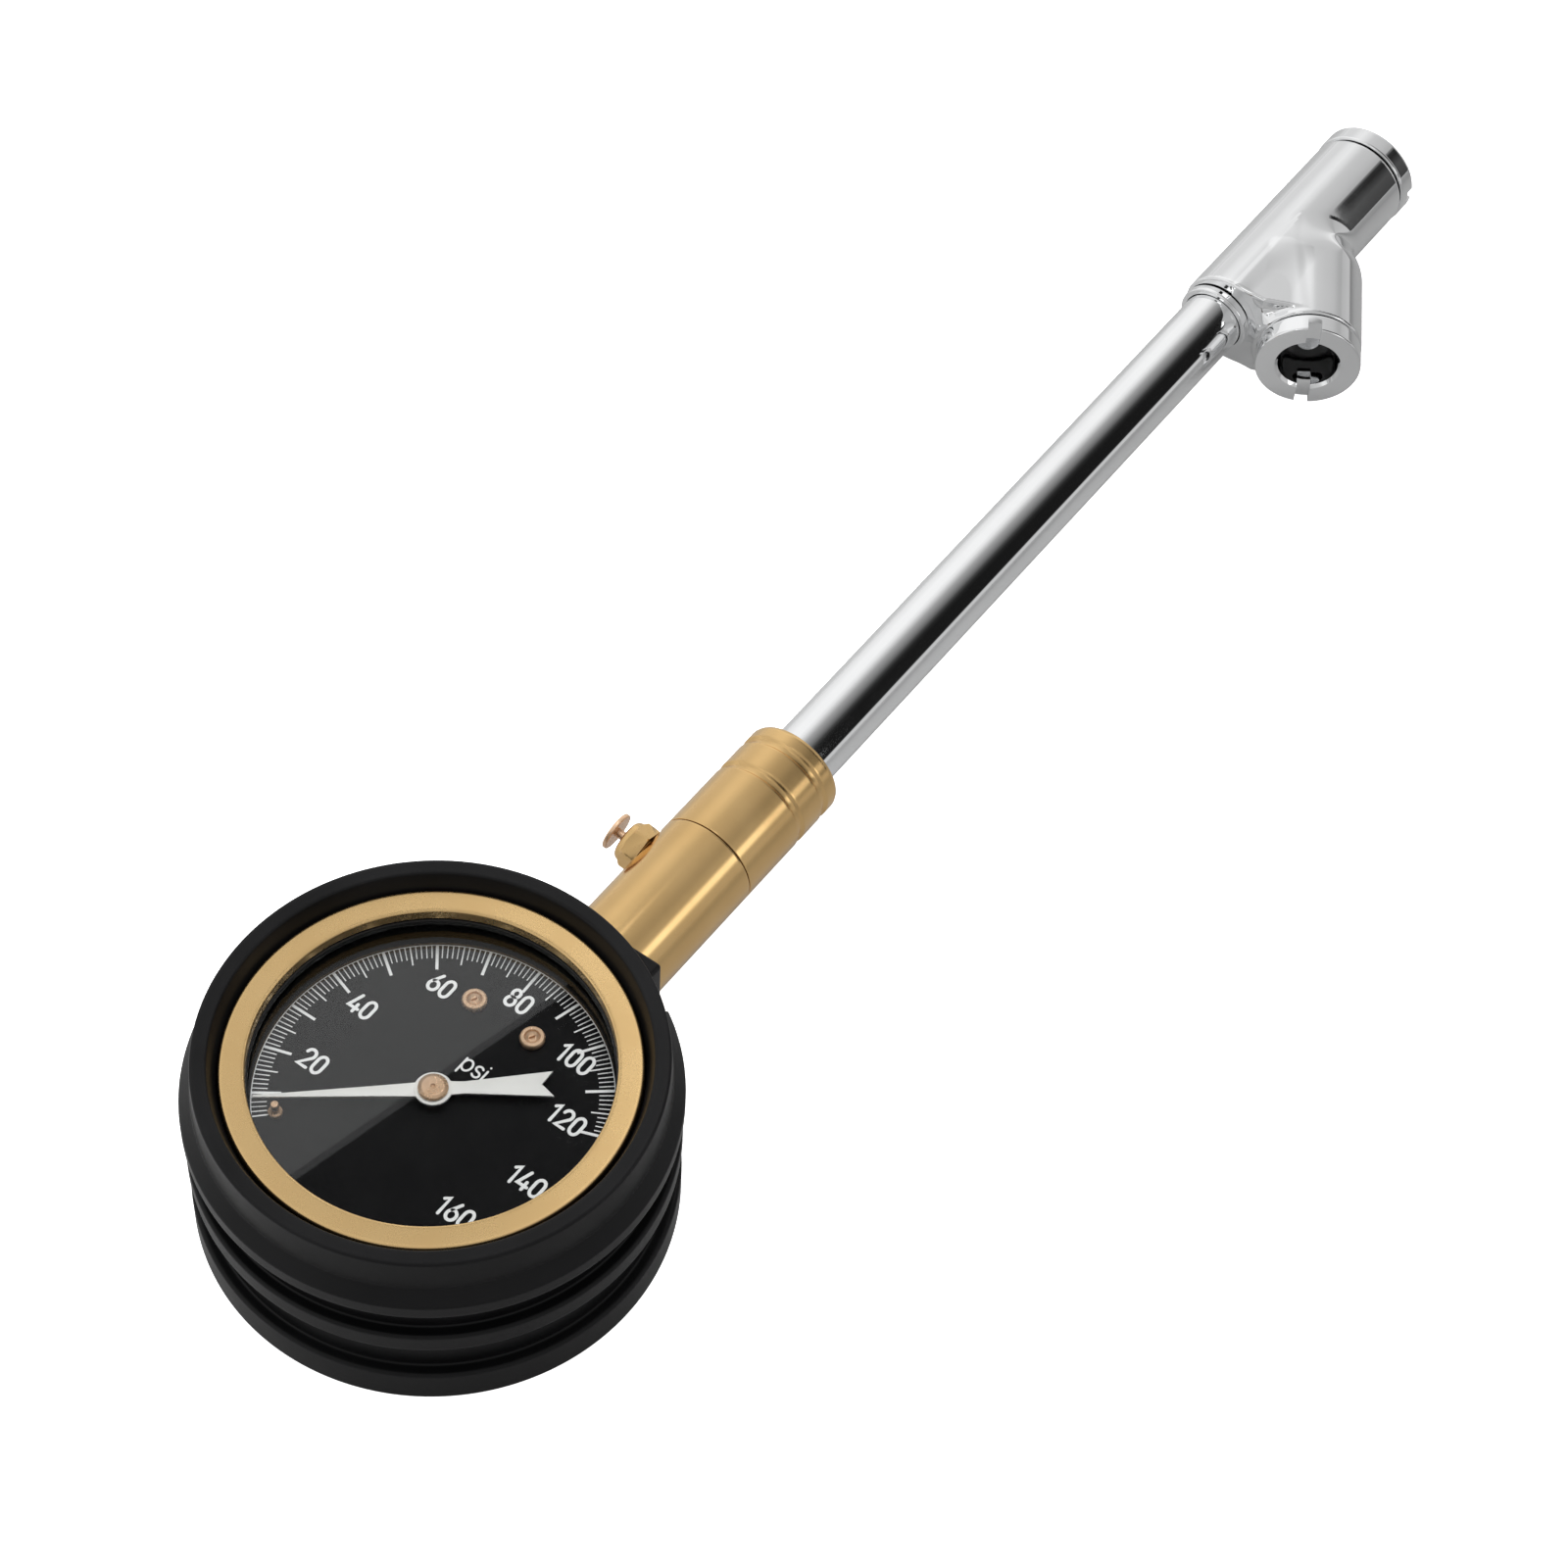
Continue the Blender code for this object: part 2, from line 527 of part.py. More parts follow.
def gauge_case(stem):
    inner = CASE_RADIUS - CASE_WALL
    case = turned("gauge_case", [
        (0.0, CASE_Z), (CASE_RADIUS - 0.8 * MM, CASE_Z), (CASE_RADIUS, CASE_Z + 0.8 * MM),
        (CASE_RADIUS, CASE_RIM_Z), (inner, CASE_RIM_Z), (inner, CASE_FLOOR_Z + 0.6 * MM),
        (inner - 0.6 * MM, CASE_FLOOR_Z), (0.0, CASE_FLOOR_Z)], "satin_brass", steps=40)
    cut(case, cylinder("case_neck_hole", NECK_RADIUS + SEAT_GAP, inner - 2 * OVERRUN,
                       CASE_RADIUS + OVERRUN, parent=stem))
    screw_x, screw_y = CASE_SCREW_XY
    for side, x in ((1, -screw_x), (2, screw_x)):
        seat = frame_at(f"case_screw_{side}_axis", (x, SOCKET_END_Y + screw_y, CASE_Z))
        case_screw(f"case_screw_{side}", seat)
        cut(case, case_screw_hole(f"case_screw_{side}_hole", seat))


def case_screw(name, seat):
    head, shank, length = CASE_SCREW
    base = 0.1 * MM
    turned(name, [(0.0, base), (head, base), (shank, CASE_FLOOR - 0.1 * MM),
                  (shank, CASE_FLOOR + length), (0.0, CASE_FLOOR + length)], "steel", seat, steps=12)


def case_screw_hole(name, seat):
    head, shank, length = CASE_SCREW
    return turned(name, [(0.0, -OVERRUN), (head + SEAT_GAP, -OVERRUN), (head + SEAT_GAP, 0.1 * MM),
                         (shank + SEAT_GAP, CASE_FLOOR - 0.1 * MM), (shank + SEAT_GAP, 2 * CASE_FLOOR),
                         (0.0, 2 * CASE_FLOOR)], None, seat, steps=12)


def bezel_ring():
    turned("bezel_ring", [
        (BEZEL_RADIUS, BEZEL_SKIRT_Z), (BEZEL_RADIUS, BEZEL_TOP_Z - BEZEL_EDGE),
        (BEZEL_RADIUS - BEZEL_EDGE, BEZEL_TOP_Z), (WINDOW_RADIUS + BEZEL_EDGE, BEZEL_TOP_Z),
        (WINDOW_RADIUS, BEZEL_TOP_Z - BEZEL_EDGE), (WINDOW_RADIUS, FLANGE_Z),
        (BEZEL_BORE, FLANGE_Z), (BEZEL_BORE, BEZEL_SKIRT_Z)], "bright_brass", steps=48)


def window():
    inner = WINDOW_RADIUS - GASKET_PROUD
    turned("lens_gasket", [
        (CASE_RADIUS, GASKET_Z), (CASE_RADIUS, GASKET_Z + GASKET_THICKNESS),
        (inner, GASKET_Z + GASKET_THICKNESS), (inner, GASKET_Z)], "black_rubber", steps=40)
    cylinder("lens", CASE_RADIUS - LENS_INSET, LENS_Z, LENS_Z + LENS_THICKNESS, "clear_lens", sides=40)


# ================================================================ dial and pointer
def dial():
    x, y = DIAL_SCREW_XY
    head, height, shank, length = DIAL_SCREW
    stop_xy = polar(DIAL_RADIUS - STOP_PIN_INSET, STOP_PIN_HEADING)
    holes = [circle(DIAL_BORE), circle(STOP_PIN[0] + SEAT_GAP, stop_xy, 12)]
    for name, side in (("dial_screw_left", -x), ("dial_screw_right", x)):
        holes.append(circle(shank + SEAT_GAP, (side, y)))
        seat = frame_at(f"{name}_axis", (side, y, DIAL_TOP_Z))
        screw = turned(name, [
            (0.0, height + SEAT_GAP), (head - 0.3 * MM, height + SEAT_GAP), (head, height),
            (head, SEAT_GAP), (shank, SEAT_GAP), (shank, -length), (0.0, -length)],
            "copper_brass", seat, steps=16)
        slot = box(f"{name}_slot", (-2 * head, -0.22 * MM, height - 0.2 * MM), (2 * head, 0.22 * MM, 2 * height),
                   parent=seat)
        cut(screw, slot)
    plate("dial_plate", [circle(DIAL_RADIUS, sides=40)] + holes, DIAL_Z, DIAL_TOP_Z, "dial_black")
    radius, rise = STOP_PIN
    flange, flange_rise = STOP_PIN_FLANGE
    seat = frame_at("stop_pin_axis", (*stop_xy, DIAL_TOP_Z))
    turned("stop_pin", [
        (0.0, rise), (radius - 0.2 * MM, rise), (radius, rise - 0.2 * MM), (radius, flange_rise),
        (flange, flange_rise - 0.3 * MM), (flange, SEAT_GAP), (radius, SEAT_GAP),
        (radius, -DIAL_THICKNESS - 0.4 * MM), (0.0, -DIAL_THICKNESS - 0.4 * MM)], "copper_brass", seat, steps=16)


def pointer():
    axis = frame_at("pointer_axis", (0, 0, POINTER_Z), (0, 0, -POINTER_REST))
    tip, inset = POINTER_TIP
    right = [(tip, DIAL_RADIUS - inset)] + [(half * MM, y * MM) for half, y in POINTER_OUTLINE]
    left = [(-x, y) for x, y in reversed(right)]
    blade = plate("pointer", [left + right + [(0.0, POINTER_NOTCH_Y)]], 0, POINTER_THICKNESS,
                  "pointer_white", axis)
    join(blade, cylinder("pointer_hub", POINTER_HUB_RADIUS, 0, POINTER_THICKNESS, parent=axis, sides=24))
    cut(blade, cylinder("pointer_bore", BUSHING_NECK + 0.1 * MM, -OVERRUN, OVERRUN, parent=axis, sides=20))
    bore = JOURNAL_RADIUS + 0.08 * MM
    collar_low = -POINTER_LIFT + 0.3 * MM
    turned("pointer_bushing", [
        (bore, collar_low), (BUSHING_RADIUS, collar_low), (BUSHING_RADIUS, -SEAT_GAP),
        (BUSHING_NECK, -SEAT_GAP), (BUSHING_NECK, POINTER_THICKNESS), (bore, POINTER_THICKNESS)],
        "steel", axis, steps=20)
    radius, height = POINTER_CAP
    low = POINTER_THICKNESS + SEAT_GAP
    turned("pointer_cap", [
        (0.0, low + height), (radius - 0.35 * MM, low + height), (radius, low + height - 0.2 * MM),
        (radius, low), (0.0, low)], "copper_brass", axis, steps=20)


# ================================================================ movement
def pinion_arbor():
    low = BACK_PLATE_Z + 0.05 * MM
    collet_radius, collet_height = COLLET
    collet_low = HAIRSPRING_Z - collet_height / 2
    top = POINTER_Z + POINTER_THICKNESS
    arbor = turned("pinion_arbor", [
        (0.0, low), (JOURNAL_RADIUS, low), (JOURNAL_RADIUS, BACK_PLATE_Z + PLATE_THICKNESS + SEAT_GAP),
        (SHAFT_RADIUS, BACK_PLATE_Z + PLATE_THICKNESS + SEAT_GAP), (SHAFT_RADIUS, collet_low),
        (collet_radius, collet_low), (collet_radius, collet_low + collet_height),
        (JOURNAL_RADIUS, collet_low + collet_height), (JOURNAL_RADIUS, top), (0.0, top)],
        "steel", steps=20)
    heading = SECTOR_PIVOT_HEADING + math.pi / PINION_TEETH
    teeth = toothed_arc(PINION_PITCH, heading, PINION_TEETH, math.tau / PINION_TEETH)
    join(arbor, plate("pinion_teeth", [teeth], SECTOR_Z - 0.4 * MM, SECTOR_Z + SECTOR_THICKNESS + 0.4 * MM))


def sector(axis):
    spacing = math.tau / WHEEL_TEETH
    mesh_heading = SECTOR_PIVOT_HEADING - math.pi
    first = mesh_heading - spacing * (SECTOR_TEETH - 2)
    last = mesh_heading + spacing
    low, high = SECTOR_Z, SECTOR_Z + SECTOR_THICKNESS
    fan = toothed_arc(WHEEL_PITCH, first, SECTOR_TEETH, spacing) + [(0.0, 0.0)]
    inner, outer = SECTOR_WINDOW
    window_outline = [polar(inner, first + 0.17), polar(inner, last - 0.17)]
    window_outline += [polar(outer, last - 0.11 - (last - first - 0.22) * i / 4) for i in range(5)]
    gear = plate("sector_gear", [fan, window_outline], low, high, "satin_brass", axis)
    tail = polar(TAIL_ARM, TAIL_REST)
    bar = hull(circle(SECTOR_HUB_RADIUS, sides=20) + circle(1.2 * MM, tail))
    join(gear, plate("sector_tail", [bar], low, high, parent=axis))
    cut(gear, cylinder("sector_bore", JOURNAL_RADIUS + 0.1 * MM, low - OVERRUN, high + OVERRUN,
                       parent=axis, sides=16),
        cylinder("sector_tail_bore", LINK_PIN_RADIUS + 0.15 * MM, low - OVERRUN, high + OVERRUN,
                 parent=axis, xy=tail, sides=12))
    base = BACK_PLATE_Z + 0.05 * MM
    top = FRONT_PLATE_Z + PLATE_THICKNESS - 0.05 * MM
    turned("sector_arbor", [
        (0.0, base), (JOURNAL_RADIUS, base), (JOURNAL_RADIUS, BACK_PLATE_Z + PLATE_THICKNESS + SEAT_GAP),
        (SHAFT_RADIUS, BACK_PLATE_Z + PLATE_THICKNESS + SEAT_GAP), (SHAFT_RADIUS, low - SEAT_GAP),
        (JOURNAL_RADIUS, low - SEAT_GAP), (JOURNAL_RADIUS, top), (0.0, top)], "steel", axis, steps=12)
    link_screw("link_screw_sector", axis, tail)


def link_screw(name, axis, xy):
    seat = frame_at(f"{name}_axis", (*xy, 0), parent=axis)
    head, height = LINK_SCREW_HEAD
    low = LINK_Z + LINK_THICKNESS + SEAT_GAP
    turned(name, [
        (0.0, low + height), (head, low + height), (head, low), (LINK_PIN_RADIUS, low),
        (LINK_PIN_RADIUS, SECTOR_Z + 0.05 * MM), (0.0, SECTOR_Z + 0.05 * MM)], "steel", seat, steps=12)


def hairspring():
    inner, outer, wire_radius, turns = HAIRSPRING
    count = 10 * turns
    points = []
    for i in range(count + 1):
        x, y = polar(inner + (outer - inner) * i / count, math.tau * i / 10)
        points.append((x, y, HAIRSPRING_Z))
    wire("hairspring", points, wire_radius, "copper_brass")


def movement_plates(pivot):
    x, y = MOVEMENT_SCREW_XY
    shank = MOVEMENT_SCREW[2]
    pivots = [circle(JOURNAL_RADIUS + RUNNING_GAP, xy, 16) for xy in ((0.0, 0.0), pivot)]
    posts = [circle(PILLAR[1] + 0.15 * MM, xy, 16) for xy in PILLARS_XY]
    screws = [circle(shank + 0.15 * MM, xy, 16) for xy in ((-x, y), (x, y))]
    corners = [point for xy in (*PILLARS_XY, pivot) for point in circle(PLATE_MARGIN, xy)]
    feet = [point for xy in ((-x, y), (x, y)) for point in circle(PLATE_MARGIN, xy)]
    stud, stud_x = HAIRSPRING_STUD
    middle = circle(PLATE_MARGIN) + circle(2.5 * stud, (stud_x, 0.0))
    plate("movement_back_plate", [hull(corners + feet)] + pivots + posts + screws,
          BACK_PLATE_Z, BACK_PLATE_Z + PLATE_THICKNESS, "satin_brass")
    front = plate("movement_front_plate", [hull(corners + middle)] + pivots + posts,
                  FRONT_PLATE_Z, FRONT_PLATE_Z + PLATE_THICKNESS, "satin_brass")
    join(front, cylinder("hairspring_stud", stud, HAIRSPRING_Z - 0.4 * MM, FRONT_PLATE_Z + 0.4 * MM,
                         xy=(stud_x, 0.0), sides=12))


def movement_fixings():
    radius, rivet = PILLAR
    low = BACK_PLATE_Z + PLATE_THICKNESS + SEAT_GAP
    high = FRONT_PLATE_Z - SEAT_GAP
    for number, xy in enumerate(PILLARS_XY, 1):
        seat = frame_at(f"movement_pillar_{number}_axis", (*xy, 0))
        turned(f"movement_pillar_{number}", [
            (0.0, BACK_PLATE_Z + 0.05 * MM), (rivet, BACK_PLATE_Z + 0.05 * MM), (rivet, low), (radius, low),
            (radius, high), (rivet, high), (rivet, FRONT_PLATE_Z + PLATE_THICKNESS),
            (0.0, FRONT_PLATE_Z + PLATE_THICKNESS)], "satin_brass", seat, steps=12)
    head, height, shank, length = MOVEMENT_SCREW
    for number, side in ((1, -1), (2, 1)):
        seat = frame_at(f"movement_screw_{number}_axis", (side * MOVEMENT_SCREW_XY[0], MOVEMENT_SCREW_XY[1], low))
        turned(f"movement_screw_{number}", [
            (0.0, height), (head, height), (head, 0.0), (shank, 0.0), (shank, -length), (0.0, -length)],
            "steel", seat, steps=12)


# ================================================================ Bourdon tube and socket
def stadium(half_width, half_height, z):
    rise = half_height - half_width
    points = []
    for i in range(5):
        x, y = polar(half_width, math.pi * i / 4)
        points.append((x + BOURDON_RADIUS, y + rise + z))
    return points + [(x, 2 * z - y) for x, y in reversed(points)]


def bourdon(axis):
    """The tube's own frame has its origin at the root, where it flexes."""
    x, y, _ = axis.location
    thick, deep = BOURDON_SECTION
    tube = turned("bourdon_tube", stadium(thick, deep, BOURDON_Z), "satin_brass", axis, steps=32)
    bore = turned("bourdon_bore", stadium(thick - BOURDON_WALL, deep - BOURDON_WALL, BOURDON_Z),
                  None, axis, steps=32)
    gap = [polar(2 * BOURDON_RADIUS, BOURDON_START + (math.tau + BOURDON_END - BOURDON_START) * i / 8)
           for i in range(9)]
    wedge = plate("bourdon_gap", [[(0.0, 0.0)] + gap], 0, 2 * BOURDON_Z, parent=axis)
    for piece in (tube, bore, wedge):
        piece.location = (-x, -y, 0)
    cut(tube, bore, wedge)
    tip_x, tip_y = polar(BOURDON_RADIUS, TIP_HEADING)
    seat = frame_at("bourdon_tip_axis", (tip_x - x, tip_y - y, 0), (0, 0, TIP_HEADING), axis)
    half_x, half_y, half_z = TIP_HALF_SIZE
    tip = box("bourdon_tip", (-half_x, -half_y, BOURDON_Z - half_z), (half_x, half_y, BOURDON_Z + half_z),
              "satin_brass", seat, bevel=0.3 * MM)
    reach = -TIP_TAB
    tab = hull(circle(1.1 * MM, (reach, 0.0)) + [(0.0, 1.1 * MM), (0.0, -1.1 * MM)])
    join(tip, plate("bourdon_tip_tab", [tab], SECTOR_Z, SECTOR_Z + SECTOR_THICKNESS, parent=seat))
    cut(tip, cylinder("bourdon_tip_bore", LINK_PIN_RADIUS + 0.15 * MM, SECTOR_Z - OVERRUN, LINK_Z + OVERRUN,
                      parent=seat, xy=(reach, 0.0), sides=12))
    link_screw("link_screw_tip", seat, (reach, 0.0))


def link(bourdon_axis, tip_pin, tail_pin):
    offset = Vector(tail_pin) - Vector(tip_pin)
    base = Vector(tip_pin) - Vector(bourdon_axis.location[:2])
    heading = math.atan2(offset.y, offset.x)
    axis = frame_at("link_axis", (base.x, base.y, 0), (0, 0, heading), bourdon_axis)
    length = offset.length
    neck = math.asin(LINK_HALF_WIDTH / LINK_END_RADIUS)
    steps = [i / 12 for i in range(13)]
    outline = [polar(LINK_END_RADIUS, neck + (math.tau - 2 * neck) * t) for t in steps]
    outline += [polar(LINK_END_RADIUS, (math.tau - 2 * neck) * t - math.pi + neck, (length, 0.0)) for t in steps]
    plate("link", [outline, circle(LINK_PIN_RADIUS + 0.15 * MM),
                   circle(LINK_PIN_RADIUS + LINK_OPEN_PLAY, (length, 0.0))],
          LINK_Z, LINK_Z + LINK_THICKNESS, "satin_brass", axis)


def gauge_socket(stem, bourdon_axis):
    start, end = SOCKET_START_Y, SOCKET_END_Y
    base = CASE_FLOOR_Z + SEAT_GAP
    x, y = DIAL_SCREW_XY
    socket = box("gauge_socket", (-SOCKET_HALF_WIDTH, start, base), (SOCKET_HALF_WIDTH, end, SOCKET_TOP_Z),
                 "satin_brass", bevel=0.3 * MM)
    tongue = box("socket_tongue", (-SOCKET_HALF_WIDTH + 0.2 * MM, TONGUE_START_Y, base + 0.05 * MM),
                 (SOCKET_HALF_WIDTH - 0.2 * MM, start + OVERRUN, BACK_PLATE_Z - SEAT_GAP))
    neck = cylinder("socket_neck", NECK_RADIUS, end - OVERRUN, NECK_END_Y, parent=stem, sides=24)
    join(socket, tongue, neck, solver="MANIFOLD")
    for side in (-x, x):
        post = cylinder("socket_dial_post", DIAL_POST_RADIUS, SOCKET_TOP_Z - OVERRUN, DIAL_Z - SEAT_GAP,
                        xy=(side, y), sides=20)
        join(socket, post, solver="MANIFOLD")
    reach = bourdon_axis.location[1]
    radius, cross_y, cross_z = CROSS_BORE
    seat = frame_at("bourdon_root", bourdon_axis.location, (0, 0, BOURDON_PIVOT))
    thick, deep = BOURDON_SECTION
    inner_end = BOURDON_RADIUS * (BOURDON_START - BOURDON_PIVOT) + SEAT_GAP
    pocket = box("socket_bourdon_pocket",
                 (-thick - BOURDON_ROOM, -BOURDON_POCKET, BOURDON_Z - deep - BOURDON_ROOM),
                 (thick + BOURDON_ROOM, inner_end, BOURDON_Z + deep + BOURDON_ROOM), parent=seat)
    cross_axis = frame_at("socket_cross_axis", (0, cross_y, cross_z), (0, math.pi / 2, 0))
    cut(socket, pocket,
        cylinder("socket_neck_bore", NECK_BORE, reach - OVERRUN, NECK_END_Y + OVERRUN, parent=stem, sides=16),
        cylinder("socket_cross_bore", radius, -0.6 * MM, bourdon_axis.location[0],
                 parent=cross_axis, sides=16),
        solver="MANIFOLD")
    shank = DIAL_SCREW[2] + SEAT_GAP
    for side in (-x, x):
        cut(socket, cylinder("socket_dial_hole", shank, DIAL_TOP_Z - DIAL_SCREW[3] - 0.5 * MM,
                             DIAL_Z + OVERRUN, xy=(side, y), sides=16), solver="MANIFOLD")
    screw_x, screw_y = CASE_SCREW_XY
    for side in (-screw_x, screw_x):
        cut(socket, cylinder("socket_case_hole", CASE_SCREW[1] + SEAT_GAP, base - OVERRUN,
                             CASE_FLOOR_Z + CASE_SCREW[2] + 0.5 * MM, xy=(side, end + screw_y), sides=16),
            solver="MANIFOLD")
    plate_x, plate_y = MOVEMENT_SCREW_XY
    for side in (-plate_x, plate_x):
        cut(socket, cylinder("socket_plate_hole", MOVEMENT_SCREW[2] + SEAT_GAP, base - OVERRUN,
                             BACK_PLATE_Z + OVERRUN, xy=(side, plate_y), sides=16), solver="MANIFOLD")


# ================================================================ stem, check valve and bleeder
def stem_body(axis, bleeder_axis):
    pocket = NECK_RADIUS + SEAT_GAP
    seal_y = SEAM_Y + SWIVEL_SEAL[1]
    clip_low = SEAM_Y + SWIVEL_CLIP[1] - 0.15 * MM
    clip_high = clip_low + SWIVEL_CLIP[0] + 0.3 * MM
    clip_floor = CLIP_RADII[0] - SEAT_GAP
    seal_floor = SPIGOT_RADIUS - SEAL_GROOVE[1]
    stem = turned("stem_body", [
        (pocket, STEM_START_Y), (STEM_RADIUS - STEM_EDGE, STEM_START_Y), (STEM_RADIUS, STEM_START_Y + STEM_EDGE),
        (STEM_RADIUS, SEAM_Y - 0.15 * MM), (STEM_RADIUS - 0.15 * MM, SEAM_Y), (SPIGOT_RADIUS, SEAM_Y),
        (SPIGOT_RADIUS, seal_y - SEAL_GROOVE[0] / 2), (seal_floor, seal_y - SEAL_GROOVE[0] / 2),
        (seal_floor, seal_y + SEAL_GROOVE[0] / 2), (SPIGOT_RADIUS, seal_y + SEAL_GROOVE[0] / 2),
        (SPIGOT_RADIUS, clip_low), (clip_floor, clip_low), (clip_floor, clip_high), (SPIGOT_RADIUS, clip_high),
        (SPIGOT_RADIUS, SPIGOT_END_Y), (CHECK_CHAMBER[0], SPIGOT_END_Y), (CHECK_CHAMBER[0], CHECK_FLOOR_Y),
        (STEM_BORE, CHECK_FLOOR_Y), (STEM_BORE, NECK_POCKET_Y), (pocket, NECK_POCKET_Y)],
        "satin_brass", axis)
    flat, spot = BLEEDER_FLAT
    radius, floor = BLEEDER_POCKET
    cut(stem, turned("stem_bleeder_pocket", [
        (0.0, 0.6 * MM), (BLEEDER_PORT, 0.6 * MM), (BLEEDER_PORT, floor), (radius, floor), (radius, flat),
        (spot, flat), (spot, STEM_RADIUS + OVERRUN), (0.0, STEM_RADIUS + OVERRUN)], None, bleeder_axis, steps=20))
    low = NECK_END_Y + SEAT_GAP
    turned("stem_gasket", [
        (NECK_RADIUS - 0.1 * MM, low), (NECK_RADIUS - 0.1 * MM, low + STEM_GASKET[1]),
        (STEM_GASKET[0], low + STEM_GASKET[1]), (STEM_GASKET[0], low)], "black_rubber", axis, steps=18)


def check_valve(axis):
    radius = CHECK_CHAMBER[0] - 0.1 * MM
    thickness, hole = CHECK_SEAT
    seat_low = SPIGOT_END_Y - 0.1 * MM - thickness
    turned("check_valve_seat", [
        (radius, seat_low), (radius, seat_low + thickness), (hole, seat_low + thickness), (hole, seat_low)],
        "satin_brass", axis, steps=16)
    poppet, length = CHECK_POPPET
    top = seat_low - SEAT_GAP
    turned("check_valve_poppet", [
        (0.0, top), (hole + 0.4 * MM, top), (poppet, top - 0.5 * MM), (poppet, top - length),
        (0.0, top - length)], "black_rubber", axis, steps=18)
    coil_radius, wire_radius, turns = CHECK_SPRING
    coil("check_valve_spring", coil_radius, wire_radius, turns, CHECK_FLOOR_Y + 0.15 * MM,
         top - length - CHECK_TRAVEL - SEAT_GAP, "steel", axis)


def bleeder(axis):
    hexagon = BLEEDER_ACROSS_FLATS / math.sqrt(3)
    ferrule = cylinder("bleeder_ferrule", hexagon, BLEEDER_SEAT, BLEEDER_HEX_TOP, "satin_brass", axis, sides=6)
    dome_top, dome_radius = BLEEDER_DOME
    flat_radius = BLEEDER_ACROSS_FLATS / 2 - 0.1 * MM
    dome = turned("bleeder_dome", [
        (0.0, BLEEDER_HEX_TOP - OVERRUN), (flat_radius, BLEEDER_HEX_TOP - OVERRUN), (flat_radius, BLEEDER_HEX_TOP),
        (flat_radius - 0.25 * MM, BLEEDER_HEX_TOP + 0.6 * MM), (dome_radius, dome_top), (0.0, dome_top)],
        None, axis, steps=16)
    stub, stub_end = BLEEDER_STUB
    chamber, chamber_top = BLEEDER_CHAMBER
    join(ferrule, dome, cylinder("bleeder_stub", stub, stub_end, BLEEDER_SEAT + OVERRUN, parent=axis))
    cut(ferrule, turned("bleeder_chamber", [
        (0.0, 0.0), (chamber, 0.0), (chamber, chamber_top), (BLEEDER_VENT, chamber_top),
        (BLEEDER_VENT, dome_top + OVERRUN), (0.0, dome_top + OVERRUN)], None, axis, steps=20))
    disc, disc_low, disc_high = BLEEDER_BUTTON
    plug, plug_low, plug_high = BLEEDER_PLUG
    turned("bleeder_button", [
        (0.0, disc_high), (disc - 0.25 * MM, disc_high), (disc, disc_high - 0.2 * MM), (disc, disc_low + 0.2 * MM),
        (disc - 0.25 * MM, disc_low), (BLEEDER_ROD, disc_low), (BLEEDER_ROD, plug_high), (plug, plug_high),
        (plug, plug_low), (0.0, plug_low)], "satin_brass", axis, steps=16)
    seal, thickness = BLEEDER_SEAL
    low = plug_high + SEAT_GAP
    turned("bleeder_seal", [
        (seal, low), (seal, low + thickness), (BLEEDER_VENT, low + thickness), (BLEEDER_VENT, low)],
        "black_rubber", axis, steps=16)
    coil_radius, wire_radius, turns = BLEEDER_SPRING
    coil("bleeder_spring", coil_radius, wire_radius, turns, BLEEDER_POCKET[1] + 0.15 * MM,
         plug_low - BLEEDER_TRAVEL - 0.15 * MM, "steel", axis)


# ================================================================ swivel sleeve, tube and chuck
def swivel_sleeve(axis):
    profile = [(STEM_RADIUS - 0.15 * MM, SLEEVE_START_Y), (STEM_RADIUS, SLEEVE_START_Y + 0.15 * MM)]
    width, depth = SLEEVE_GROOVE
    for y in SLEEVE_GROOVES_Y:
        profile += [(STEM_RADIUS, y - width / 2), (STEM_RADIUS - depth, y - width / 4),
                    (STEM_RADIUS - depth, y + width / 4), (STEM_RADIUS, y + width / 2)]
    profile += [(STEM_RADIUS - inset * MM, SLEEVE_END_Y - back * MM) for inset, back in SLEEVE_NOSE]
    clip_low = SEAM_Y + SWIVEL_CLIP[1] - SEAT_GAP
    clip_high = clip_low + SWIVEL_CLIP[0] + 2 * SEAT_GAP
    clip_wall = CLIP_RADII[1] + SEAT_GAP
    profile += [(SLEEVE_BORE, SLEEVE_END_Y), (SLEEVE_BORE, clip_high), (clip_wall, clip_high),
                (clip_wall, clip_low), (SLEEVE_BORE, clip_low), (SLEEVE_BORE, SLEEVE_START_Y)]
    turned("swivel_sleeve", profile, "satin_brass", axis)


def swivel_clip(axis):
    inner, outer = CLIP_RADII
    span = math.tau - 2 * CLIP_HALF_OPENING
    arc = [CLIP_HALF_OPENING + span * i / 20 for i in range(21)]
    outline = [polar(outer, angle) for angle in arc] + [polar(inner, angle) for angle in reversed(arc)]
    low = SEAM_Y + SWIVEL_CLIP[1]
    plate("swivel_clip", [outline], low, low + SWIVEL_CLIP[0], "steel", axis)


def swivel_seal(axis):
    cord, past = SWIVEL_SEAL
    centre = SPIGOT_RADIUS - cord + 0.03 * MM
    turned("swivel_seal", [(centre + x, SEAM_Y + past + y) for x, y in circle(cord, sides=6)],
           "black_rubber", axis, steps=18)


